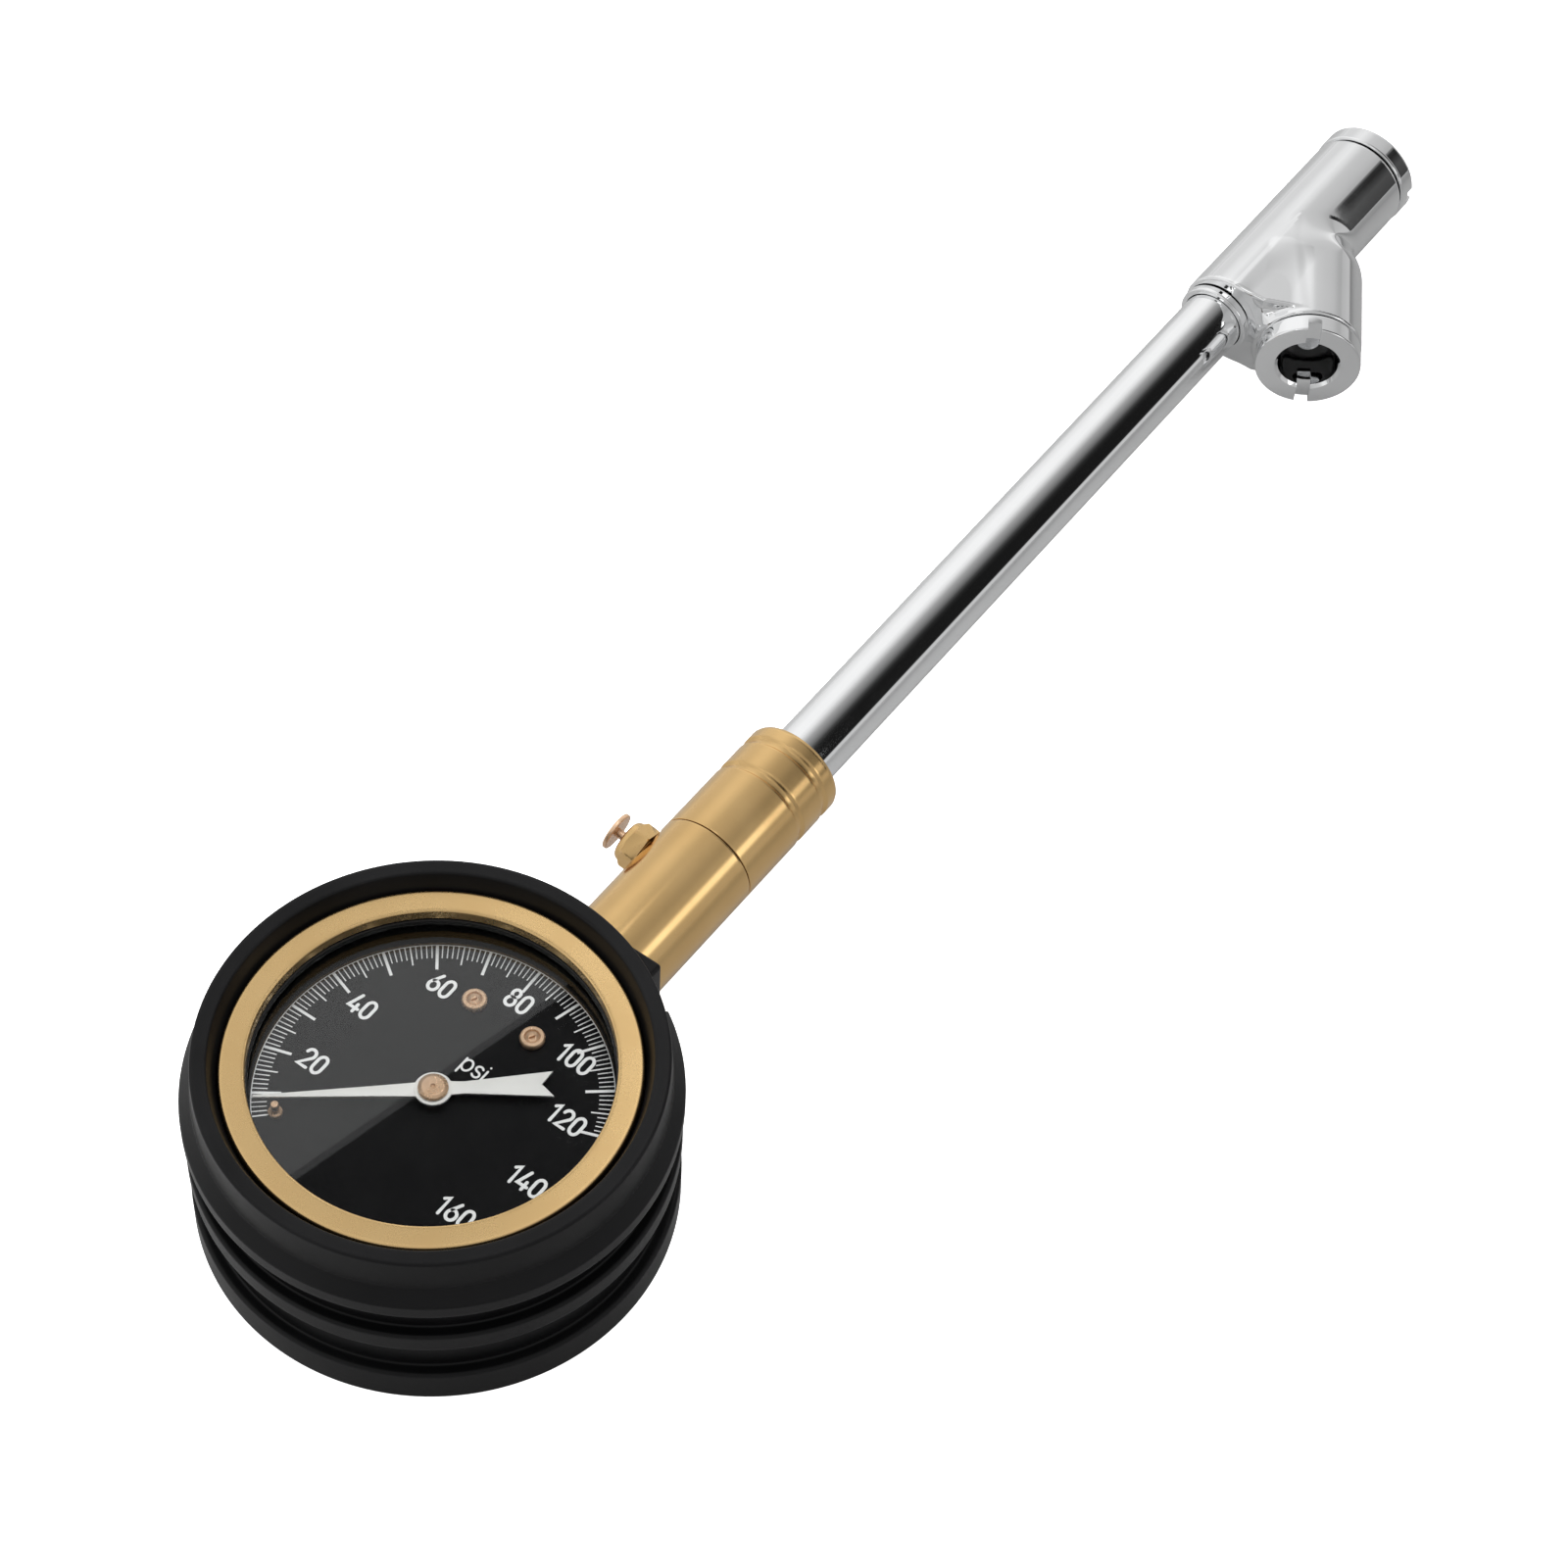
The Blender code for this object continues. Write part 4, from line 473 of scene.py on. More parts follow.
# ------------------------------------------------------------------ bezel, gasket, lens
def window():
    bezel = lathe("bezel", filleted([
        (27.0, 20.5, 0.1), (27.0, 28.7, 0.4), (23.6, 28.7, 0.35), (23.6, 27.1, 0.05), (26.45, 27.1, 0.1),
        (26.45, 20.5, 0.1)], 5, closed=True), M["bezel"], steps=256)
    dress(bezel, "gauge", "bright_brass", "bezel_ring")
    gasket = lathe("gasket", filleted([
        (26.2, 25.85, 0.1), (26.2, 26.85, 0.1), (23.4, 26.85, 0.2), (23.4, 25.85, 0.2)], 3, closed=True),
        M["seal"], steps=256)
    dress(gasket, "gauge", "black_rubber", "lens_gasket")
    pane = [(0, 24.3), (25.75, 24.3), (25.9, 24.45), (25.9, 25.45), (25.75, 25.6), (0, 25.6)]
    lens = lathe("lens_pane", pane, M["glass"], steps=192)
    dress(lens, "gauge", "clear_lens", "lens")


# ------------------------------------------------------------------ dial
def arc(cx, cy, rx, ry, start, end, steps=14):
    angles = [math.radians(start + (end - start) * i / steps) for i in range(steps + 1)]
    return [(cx + rx * math.cos(a), cy + ry * math.sin(a)) for a in angles]


# Each glyph is a list of pen strokes, one unit tall; a stroke that ends where it starts is closed.
GLYPHS = {
    "0": [arc(0.29, 0.70, 0.23, 0.30, 0, 180) + arc(0.29, 0.30, 0.23, 0.30, 180, 360) + [(0.52, 0.70)]],
    "1": [[(0.06, 0.80), (0.28, 0.985), (0.28, 0.0)]],
    "2": [arc(0.29, 0.73, 0.235, 0.27, 172, -38, 16) + [(0.05, 0.0), (0.55, 0.0)]],
    "4": [[(0.30, 1.0), (0.04, 0.22), (0.58, 0.22)], [(0.43, 0.46), (0.43, 0.0)]],
    "6": [[(0.40, 1.0), (0.115, 0.46)] + arc(0.30, 0.285, 0.245, 0.285, 142, 482, 24)],
    "8": [arc(0.29, 0.765, 0.195, 0.235, -90, 270, 24), arc(0.29, 0.265, 0.24, 0.265, 90, 450, 24)],
    "p": [[(0.04, 0.68), (0.04, -0.26)], arc(0.30, 0.34, 0.26, 0.34, 0, 360, 24)],
    "s": [arc(0.25, 0.515, 0.19, 0.165, 30, 250, 12) + arc(0.25, 0.175, 0.20, 0.175, 70, -150, 12)],
    "i": [[(0.05, 0.66), (0.05, 0.0)], [(0.05, 0.92), (0.05, 0.925)]],
}
ADVANCE = {
    "0": 0.70, "1": 0.54, "2": 0.70, "4": 0.72, "6": 0.70, "8": 0.70, "p": 0.70, "s": 0.60, "i": 0.22}
NUMERALS = (  # number, distance from the centre in mm, degrees clockwise from the stem
    ("20", 16.2, -111.4), ("40", 16.2, -74.2), ("60", 16.3, -35.7), ("80", 17.5, 0.0), ("100", 18.8, 37.2),
    ("120", 17.6, 66.5), ("140", 18.1, 100.4), ("160", 18.3, 132.3))
PRINT_HEIGHT, PRINT_SUNK, PRINT_STEP = 0.02, 0.01, 0.0004        # mm over, into the dial and between slabs
NUMERAL_HEIGHT = 2.75
NUMERAL_PEN = 0.46
NUMERAL_SHIFT = (-0.36, 0.50)
UNIT_PLACE, UNIT_HEIGHT, UNIT_PEN = (1.6, 6.6), 2.6, 0.30
SCALE_START, SCALE_STEP, SCALE_FIRST, SCALE_LAST = -144.5, 1.775, 5, 120     # the marks seen in the photo
TICK_CIRCLE = 23.3
TICKS = {1: (2.05, 0.15), 5: (2.95, 0.20), 10: (3.85, 0.40)}     # length and width in mm


class Print:
    """Flat raised print on the dial, gathered into one mesh."""

    def __init__(self):
        self.verts, self.faces, self.layer = [], [], 0

    def slab(self, outline):
        """A closed outline; each slab's face is a hair above the last, so that none share a plane."""
        self.layer += 1
        top = DIAL_Z + PRINT_HEIGHT + PRINT_STEP * (self.layer % 7)
        base, count = len(self.verts), len(outline)
        for height in (DIAL_Z - PRINT_SUNK, top):
            self.verts += [(x, y, height) for x, y in outline]
        self.faces.append([base + i for i in range(count)][::-1])
        self.faces.append([base + count + i for i in range(count)])
        self.faces += [[base + i, base + (i + 1) % count, base + count + (i + 1) % count, base + count + i]
                       for i in range(count)]

    def band(self, points, width, closed):
        """A pen stroke with round ends."""
        points = [Vector(p) for p in points]
        count = len(points)
        left, right = [], []
        for i, point in enumerate(points):
            before = points[i - 1] if i or closed else point
            after = points[(i + 1) % count] if i < count - 1 or closed else point
            incoming = (point - before).normalized() if before != point else (after - point).normalized()
            outgoing = (after - point).normalized() if after != point else incoming
            along = (incoming + outgoing).normalized()
            stretch = 1 / max(along.dot(outgoing), 0.6)
            side = Vector((-along.y, along.x)) * (width / 2 * stretch)
            left.append(point + side)
            right.append(point - side)
        if closed:
            for i in range(count):
                j = (i + 1) % count
                self.quad(left[i], left[j], right[j], right[i])
            return
        start, end = points[0] - points[1], points[-1] - points[-2]
        outline = [tuple(p) for p in left]
        outline += self.cap(points[-1], end, width)
        outline += [tuple(p) for p in reversed(right)]
        outline += self.cap(points[0], start, width)
        self.slab(outline[::-1])

    def quad(self, a, b, c, d):
        base = len(self.verts)
        for height in (DIAL_Z - PRINT_SUNK, DIAL_Z + PRINT_HEIGHT):
            self.verts += [(p.x, p.y, height) for p in (a, b, c, d)]
        for face in ((3, 2, 1, 0), (4, 5, 6, 7), (0, 1, 5, 4), (2, 3, 7, 6)):
            self.faces.append([base + i for i in face])

    @staticmethod
    def cap(centre, along, width):
        heading = math.atan2(along.y, along.x)
        turns = (60, 30, 0, -30, -60)
        return [polar(width / 2, heading + math.radians(angle), centre) for angle in turns]

    def word(self, text, centre, height, pen):
        total = sum(ADVANCE[ch] for ch in text) - 0.12
        x = centre[0] - total * height / 2
        y = centre[1] - height / 2
        for ch in text:
            for stroke in GLYPHS[ch]:
                points = [(x + px * height, y + py * height) for px, py in stroke]
                closed = (Vector(points[0]) - Vector(points[-1])).length < 1e-4 and len(points) > 3
                self.band(points[:-1] if closed else points, pen, closed)
            x += ADVANCE[ch] * height

    def object(self, name):
        return made(name, self.verts, self.faces, M["print"], sharp=30)


def clockwise(radius, degrees):
    angle = math.radians(degrees)
    return (radius * math.sin(angle), radius * math.cos(angle))


def dial():
    section = filleted([(1.5, 20.7), (24.95, 20.7, 0.1), (24.95, DIAL_Z, 0.1), (1.5, DIAL_Z)], 3)
    plate = lathe("dial_face", section, M["dial"], steps=192)
    dress(plate, "gauge", "dial_black", "dial_plate")
    scale = Print()
    marks = {value: SCALE_START + SCALE_STEP * value for value in range(SCALE_FIRST, SCALE_LAST + 1)}
    for value, degrees in marks.items():
        length, width = TICKS[10 if value % 10 == 0 else 5 if value % 5 == 0 else 1]
        outer = Vector(clockwise(TICK_CIRCLE, degrees))
        inner = Vector(clockwise(TICK_CIRCLE - length, degrees))
        along = (outer - inner).normalized()
        side = Vector((-along.y, along.x)) * width / 2
        scale.slab([tuple(p) for p in (inner - side, outer - side, outer + side, inner + side)])
    scale.band([clockwise(TICK_CIRCLE, degrees) for degrees in marks.values()], 0.13, False)
    dress(scale.object("dial_scale"), "gauge", "pointer_white")
    numerals = Print()
    for text, radius, degrees in NUMERALS:
        centre = Vector(clockwise(radius, degrees)) + Vector(NUMERAL_SHIFT)
        numerals.word(text, centre, NUMERAL_HEIGHT, NUMERAL_PEN)
    numerals.word("psi", UNIT_PLACE, UNIT_HEIGHT, UNIT_PEN)
    dress(numerals.object("dial_numerals"), "gauge", "pointer_white")


def dial_screws():
    for name, x in (("left", -4.8), ("right", 4.8)):
        place = Matrix.Translation((x, 14.3, DIAL_Z))
        head = lathe(f"dial_screw_{name}_head", filleted([
            (0.0, 0.55), (0.55, 0.55, 0.1), (0.95, 0.78, 0.15), (1.05, 1.05, 0.1), (1.55, 1.05, 0.2),
            (1.7, 0.75, 0.2), (1.7, 0.25, 0.05), (0.85, 0.25), (0.85, -5.0), (0.0, -5.0)], 4),
            M["copper"], place, steps=64)
        recess = [polar(0.62, math.radians(90 + 120 * i)) for i in range(3)]
        recess = prism("recess", recess, 0.2, 2.0, place=place)
        combined(head, [("DIFFERENCE", recess)])
        dress(head, "gauge", "copper_brass", f"dial_screw_{name}")
    pin = lathe("pointer_stop", filleted([
        (0.0, 2.5), (0.55, 2.5, 0.2), (0.55, 1.1, 0.1), (0.62, 0.95, 0.1), (0.95, 0.75, 0.15),
        (0.95, 0.25, 0.05), (0.55, 0.25), (0.55, -1.0), (0.0, -1.0)], 4), M["copper"],
        Matrix.Translation((*clockwise(20.22, -135.8), DIAL_Z)), steps=48)
    dress(pin, "gauge", "copper_brass", "stop_pin")


def pointer():
    place = Matrix.Translation((0, 0, POINTER_Z)) @ Matrix.Rotation(-POINTER_REST, 4, "Z")
    right = [(0.15, 23.0), (0.75, 8.0), (1.15, 0.0), (0.9, -4.0), (1.9, -15.4)]
    outline = [(-x, y) for x, y in reversed(right)]
    blade = prism("pointer_blade", [*right, (0.0, -13.9), *outline], 0.0, 0.3, M["pointer"], place)
    hub = [(0, 0.0), (2.42, 0.0), (2.5, 0.06), (2.5, 0.26), (2.42, 0.34), (0, 0.34)]
    hub = lathe("hub", hub, None, place, 72)
    combined(blade, [("UNION", hub)], bevel=0.05, sharp=40)
    dress(blade, "pointer_set", "pointer_white", "pointer")
    cap = lathe("pointer_boss", filleted([
        (0.0, 0.80), (0.16, 0.82, 0.05), (0.34, 1.04, 0.1), (1.45, 1.10, 0.6), (1.95, 0.86, 0.15),
        (2.0, 0.55, 0.05), (0.0, 0.55)], 5), M["copper"], place, steps=72)
    dress(cap, "pointer_set", "copper_brass", "pointer_cap")
    collar = lathe("pointer_collar", filleted([
        (0.5, -1.0), (2.2, -1.0, 0.1), (2.3, -0.9, 0.1), (2.3, -0.25, 0.1), (1.1, -0.25), (1.1, 0.3),
        (0.5, 0.3)], 3), M["steel"], place, steps=64)
    dress(collar, "pointer_set", "steel", "pointer_bushing")


# ------------------------------------------------------------------ stem, sleeve, bleeder
def stem():
    body = lathe("stem_barrel", filleted([
        (4.05, 26.6), (7.5, 26.6, 0.3), (7.5, 58.7, 0.14), (4.9, 58.7, 0.05), (4.9, 67.5, 0.2), (2.7, 67.5),
        (2.7, 57.0), (1.3, 57.0), (1.3, 34.9), (4.05, 34.9)], 4), M["stem"], STEM, steps=192)
    pocket = [(0, 0.6), (0.8, 0.6), (0.8, 1.9), (2.25, 1.9), (2.25, 6.9), (3.9, 6.9), (3.9, 9.0), (0, 9.0)]
    pocket = lathe("pocket", pocket, None, BLEEDER, steps=96)
    combined(body, [("DIFFERENCE", pocket)])
    coat(body, "stem")
    dress(body, "gauge", "satin_brass", "stem_body")
    corners = [(4.98, 58.85, 0.1), (7.5, 58.85, 0.14)]
    for y in (70.8, 76.3):
        for radius, along in ((7.5, -0.75), (7.05, -0.38), (7.05, 0.38), (7.5, 0.75)):
            corners.append((radius, y + along, 0.12))
    corners += [(7.5, 78.8, 0.3), (7.3, 79.3, 0.2), (6.9, 79.5, 0.1), (4.98, 79.5, 0.1)]
    sleeve = lathe("sleeve", filleted(corners, 4, closed=True), M["stem"], STEM, steps=192)
    dress(sleeve, "swivel", "satin_brass", "swivel_sleeve")


def bleeder():
    dome = [polar(1.0, math.radians(a)) for a in range(10, 71, 12)]
    section = [(1.5, 3.1), (2.0, 3.1), (2.0, 7.15), (3.42, 7.15), (3.56, 7.3), (3.6, 9.1), (3.25, 9.42)]
    section += [(2.35 + 0.75 * x, 9.42 + 1.08 * y) for x, y in dome]
    section += [(2.1, 10.5), (0.9, 10.5), (0.9, 7.4), (1.5, 7.4)]
    body = lathe("bleeder_fitting", section, M["brass"], BLEEDER, steps=96)
    hexagon = [polar(3.58, math.radians(60 * i)) for i in range(6)]
    hexagon = prism("hexagon", hexagon, -1, 12, place=BLEEDER)
    combined(body, [("INTERSECT", hexagon)], bevel=0.06)
    coat(body, "brass")
    dress(body, "gauge", "satin_brass", "bleeder_ferrule")
    button = lathe("bleeder_knob", filleted([
        (0.0, 12.5), (2.85, 12.5, 0.2), (2.85, 11.85, 0.2), (0.65, 11.85, 0.1), (0.65, 6.25), (1.2, 6.25),
        (1.2, 5.55), (0.0, 5.55)], 4), M["copper"], BLEEDER, steps=80)
    dress(button, "bleeder", "satin_brass", "bleeder_button")


# ------------------------------------------------------------------ tube and chuck
def tube():
    pipe = lathe("air_tube", filleted([
        (4.9, 69.1, 0.1), (4.9, 195.9, 0.1), (4.0, 195.9, 0.1), (4.0, 69.1, 0.1)], 3, closed=True),
        M["chrome"], STEM, steps=192)
    dress(pipe, "swivel", "chrome", "chuck_tube")
    collar = lathe("tube_ferrule", filleted([
        (5.8, 190.25, 0.1), (5.8, 188.95, 0.25), (5.0, 188.95, 0.1), (5.0, 190.25, 0.1)], 4, closed=True),
        M["chrome"], STEM, steps=128)
    dress(collar, "swivel", "chrome", "tube_collar")


CHUCK_START, CHUCK_END = 190.5, 229.05
BODY_END = 3.5
DOME_DEPTH = 17.4
BRANCH_RADIUS = 8.2
WEB_HALF = 7.93
WEB_START, WEB_END = CHUCK_START + 0.12, 213.0
CROTCH_BLEND, WEB_BLEND, WEB_ROLL, EDGE_ROUND = 3.0, 0.6, 3.5, 0.45
SKIN_STEP = 0.30                          # the skin's voxel and the most that a turn moves it, in mm
SKIN_TURNS, SKIN_EVEN_TURNS = 26, 20      # turns of drawing it onto the form, and how many also even it out
SKIN_EVEN_SHARE = 0.4                     # how much of the way a point goes to the middle of its neighbours


def smooth_min(a, b, k):
    h = np.clip(k - np.abs(a - b), 0, None) / k
    return np.minimum(a, b) - h * h * k / 4


def rounded_max(a, b, radius):
    """Meeting of two half spaces, with its edge rounded."""
    inner = np.minimum(np.maximum(a, b) + radius, 0)
    outer = np.hypot(np.clip(a + radius, 0, None), np.clip(b + radius, 0, None))
    return inner + outer - radius


def polygon_distance(x, y, corners):
    """Signed distance to a polygon in the plane, negative inside."""
    distance = np.full(x.shape, np.inf)
    inside = np.zeros(x.shape, bool)
    for (ax, ay), (bx, by) in zip(corners, corners[1:] + corners[:1]):
        ex, ey = bx - ax, by - ay
        wx, wy = x - ax, y - ay
        t = np.clip((wx * ex + wy * ey) / (ex * ex + ey * ey), 0, 1)
        distance = np.minimum(distance, np.hypot(wx - t * ex, wy - t * ey))
        crosses = ((ay > y) != (by > y)) & (x < ax + (y - ay) * ex / (ey if abs(ey) > 1e-9 else 1e-9))
        inside ^= crosses
    return np.where(inside, -distance, distance)


def chuck_distance(points):
    """Signed distance, in mm, to the forged chuck with its bores."""
    x, y, z = points.T
    high = z - STEM_Z
    radial = np.hypot(x - BARREL_X, high)
    middle, half = (CHUCK_START + CHUCK_END) / 2, (CHUCK_END - CHUCK_START) / 2
    barrel = rounded_max(radial - BARREL_RADIUS, np.abs(y - middle) - half, EDGE_ROUND)
    bx, by = math.sin(BRANCH_HEADING), math.cos(BRANCH_HEADING)
    dx, dy = x - BRANCH_FACE.x, y - BRANCH_FACE.y
    along = dx * bx + dy * by
    across = np.hypot(dx * by - dy * bx, high)
    arm = np.where(along < -DOME_DEPTH, np.hypot(across, along + DOME_DEPTH), across) - BRANCH_RADIUS
    arm = rounded_max(arm, along + BODY_END, EDGE_ROUND)
    near, far = [(BRANCH_FACE.x - bx * d, BRANCH_FACE.y - by * d) for d in (4.5, DOME_DEPTH)]
    outline = [(BARREL_X, WEB_START), (7.2, WEB_START), near, far, (BARREL_X, WEB_END)]
    lid = np.abs(high) - WEB_HALF
    crotch = Vector((BARREL_X - far[0], WEB_END - far[1])).normalized()
    beyond = (x - far[0]) * -crotch.y + (y - far[1]) * crotch.x
    slab = rounded_max(polygon_distance(x, y, outline), lid, 0.5)
    web = np.maximum(slab, rounded_max(-beyond, lid, WEB_ROLL))
    solid = smooth_min(smooth_min(barrel, arm, CROTCH_BLEND), web, WEB_BLEND)
    bores = [
        np.maximum(np.hypot(x, high) - 5.0, y - 196.15),
        np.maximum(radial - 6.15, 223.45 - y), np.maximum(radial - 3.4, 215.05 - y),
        np.maximum(across - 6.15, -9.1 - along), np.maximum(across - 3.4, -17.5 - along),
        np.maximum(radial - 1.6, np.abs(y - 205.5) - 10.6),
        np.maximum(across - 1.2, np.abs(along + 21.75) - 5.25)]
    for bore in bores:
        solid = np.maximum(solid, -bore)
    return solid


def gradient(points, step=0.01):
    columns = []
    for axis in range(3):
        shift = np.zeros(3)
        shift[axis] = step
        columns.append(chuck_distance(points + shift) - chuck_distance(points - shift))
    slope = np.stack(columns, 1)
    return slope / np.maximum(np.linalg.norm(slope, axis=1, keepdims=True), 1e-9)


def chuck_body():
    """The CAD solid's surface, remade as a fine skin and drawn onto the blended form."""
    source = frame["nodes"]["chuck_body"]
    body = bpy.data.objects.new("chuck_forging", source.data.copy())
    bpy.context.scene.collection.objects.link(body)
    remesh = body.modifiers.new("skin", "REMESH")
    remesh.mode = "VOXEL"
    remesh.voxel_size = SKIN_STEP * MM
    evaluated(body)
    mesh = body.data
    points = np.empty(len(mesh.vertices) * 3)
    mesh.vertices.foreach_get("co", points)
    points = points.reshape(-1, 3) / MM
    edges = np.empty(len(mesh.edges) * 2, int)
    mesh.edges.foreach_get("vertices", edges)
    edges = edges.reshape(-1, 2)
    degree = np.bincount(edges.ravel(), minlength=len(points))[:, None]
    for turn in range(SKIN_TURNS):
        slope = gradient(points)
        points = points - np.clip(chuck_distance(points), -SKIN_STEP, SKIN_STEP)[:, None] * slope
        if turn < SKIN_EVEN_TURNS:
            total = np.zeros_like(points)
            np.add.at(total, edges[:, 0], points[edges[:, 1]])
            np.add.at(total, edges[:, 1], points[edges[:, 0]])
            drift = total / degree - points
            drift -= np.sum(drift * slope, 1, keepdims=True) * slope
            points = points + SKIN_EVEN_SHARE * drift
    mesh.vertices.foreach_set("co", (points * MM).ravel())
    mesh.update()
    mesh.shade_smooth()
    coat(body, "chrome")
    mesh.normals_split_custom_set_from_vertices(gradient(points, 0.03).tolist())
    return dress(body, "swivel", "chrome", "chuck_body")


def foot(prefix, place, slot_angle, body):
    ring = lathe(f"{prefix}_ring", filleted([
        (8.1, 0.0, 0.35), (8.1, -3.2, 0.35), (5.9, -3.2), (5.9, -6.2), (4.6, -6.2), (4.6, -0.5, 0.15),
        (5.1, 0.0, 0.15)], 4, closed=True), M["chrome"], place, steps=144)
    turn = Matrix.Rotation(slot_angle, 4, "Z")
    slot = block("slot", (-9.5, -1.05, -1.5), (9.5, 1.05, 1.0), place=place @ turn)
    combined(ring, [("DIFFERENCE", slot)], bevel=0.12)
    coat(ring, "chrome")
    dress(ring, "swivel", "chrome", f"{prefix}_retainer_ring")
    seal = lathe(f"{prefix}_washer", filleted([
        (4.35, -5.85, 0.25), (4.35, -6.45), (5.9, -6.45), (5.9, -8.85), (2.3, -8.85), (2.3, -5.85, 0.2)],
        4, closed=True), M["seal"], place, steps=96)
    dress(seal, "swivel", "black_rubber", f"{prefix}_seal")
    pin = lathe(f"{prefix}_depressor_pin", filleted([
        (0.0, -5.05), (1.9, -5.05, 0.35), (1.9, -9.1), (3.0, -9.1), (3.0, -10.6), (1.3, -10.6),
        (1.3, -11.8), (0.0, -11.8)], 5), M["steel"], place, steps=72)
    dress(pin, body, "steel", f"{prefix}_pin")


# ------------------------------------------------------------------ camera, floor and light
CAMERA_AT = Vector((184.83, -204.87, 456.27)) * MM
CAMERA_RIGHT = Vector((0.8056, 0.5911, 0.0394))
CAMERA_DOWN = Vector((0.4927, -0.6316, -0.5986))
FOCAL_PIXELS, IMAGE_PIXELS = 4071, 1600


def camera():
    data = bpy.data.cameras.new("camera")
    data.sensor_width = 36
    data.lens = FOCAL_PIXELS / IMAGE_PIXELS * data.sensor_width
    data.clip_start, data.clip_end = 0.01, 50
    eye = bpy.data.objects.new("camera", data)
    right = CAMERA_RIGHT.normalized()
    up = -(CAMERA_DOWN - CAMERA_DOWN.dot(right) * right).normalized()
    turn = Matrix((right, up, right.cross(up))).transposed()
    eye.matrix_world = Matrix.Translation(CAMERA_AT) @ turn.to_4x4()
    bpy.context.scene.collection.objects.link(eye)
    bpy.context.scene.camera = eye


def sheet(name, low, material):
    bm = bmesh.new()
    bmesh.ops.create_grid(bm, x_segments=8, y_segments=8, size=SHEET_REACH)
    mesh = bpy.data.meshes.new(name)
    bm.to_mesh(mesh)
    bm.free()
    mesh.transform(Matrix.Translation((0, SHEET_MIDDLE, low)))
    plane = bpy.data.objects.new(name, mesh)
    bpy.context.scene.collection.objects.link(plane)
    mesh.materials.append(material)
    return plane


def floor():
    """A pale table that lights the object, whose glow holds painted light to the left and painted shadow
    near the object, and the bright sheet on it that the camera sees.
    """
    table = Shade("pale_table", (0.25, 0.25, 0.25), 0.9, Specular_IOR_Level=0.1)
    table.colour(table.blend(table.noise(table.place(), 3, 2), (0.23, 0.23, 0.23), (0.27, 0.27, 0.27)))
    table.shader.inputs["Emission Color"].default_value = (1, 1, 1, 1)
    parts = table.node("ShaderNodeSeparateXYZ")
    table.link(table.place(), parts.inputs[0])
    # Painted light and shadow: the glow is bright to the left, dims near the object and rises a little to
    # the right.
    left = table.span(parts.outputs["X"], *TABLE_PAINTED_LIGHT_LEFT)
    right = table.span(parts.outputs["X"], *TABLE_PAINTED_LIGHT_RIGHT)
    table.link(table.math("ADD", left, right), table.shader.inputs["Emission Strength"])
    sheet("table", TABLE_LOW, table.material).visible_camera = False
    paper = Shade("bright_paper", (0.9, 0.9, 0.9), 0.9, Specular_IOR_Level=0.0)
    paper.shader.inputs["Emission Color"].default_value = (1, 1, 1, 1)
    paper.shader.inputs["Emission Strength"].default_value = 1.1
    paper = sheet("paper", PAPER_LOW, paper.material)
    paper.visible_glossy = paper.visible_diffuse = paper.visible_shadow = False


# In metres: half a sheet's width, its middle along the stem and how high each lies.
SHEET_REACH, SHEET_MIDDLE, TABLE_LOW, PAPER_LOW = 3.0, 0.1, -0.0001, -0.00005
# The table's glow is painted light and shadow, less near the object as painted shadow: level at either end
# of a run of x in metres.
TABLE_PAINTED_LIGHT_LEFT, TABLE_PAINTED_LIGHT_RIGHT = (0.52, 0.06, -0.10, 0.05), (0.0, 0.26, 0.05, 0.30)

# Levels of light by degrees round the stem, from +X (0) over the dial (90) to -X (180).
SKY = (
    (-180, 0.80), (0, 0.55), (14, 0.55), (48, 0.50), (57, 0.43), (67, 0.46), (77, 0.53), (88, 0.57),
    (98, 0.59), (109, 0.63), (120, 0.78), (132, 0.90), (144, 0.86), (158, 0.74), (173, 0.74), (180, 0.80))
TUBE_FLAG = (
    (-20, 0.60), (9, 0.60), (13, 0.010), (50, 0.010), (60, 0.02), (68, 0.06), (77, 0.17), (87, 0.28),
    (96, 0.38), (106, 0.62), (116, 0.86), (127, 1.0), (150, 1.0), (165, 0.92), (185, 0.84))
CHUCK_FLAG = ((-7, 0.30), (-3, 0.03), (0, 0.055), (30, 0.075), (50, 0.02), (58, 0.03), (64, 0.25))
STRIP = ((20, 0.6), (24, 1.6), (34, 1.6), (38, 0.6))
CARD_RADIUS = 300
LENS_IMAGE, LENS_IMAGE_RADIUS, FLAG_Z = (-64.1, 71.07), 31.9, 175.0     # where the lens is mirrored to, mm
LENS_DARK_FROM = 77.5            # degrees round that image where its dark half starts
# Name, first and last degree round the image, outer radius in mm, level.
BEZEL_GLOWS = (
    ("bezel_glow_low", -80, -25, 78, 0.8), ("bezel_glow_right", -25, 45, 78, 1.3),
    ("bezel_glow_top", 45, 115, 43, 2.6))


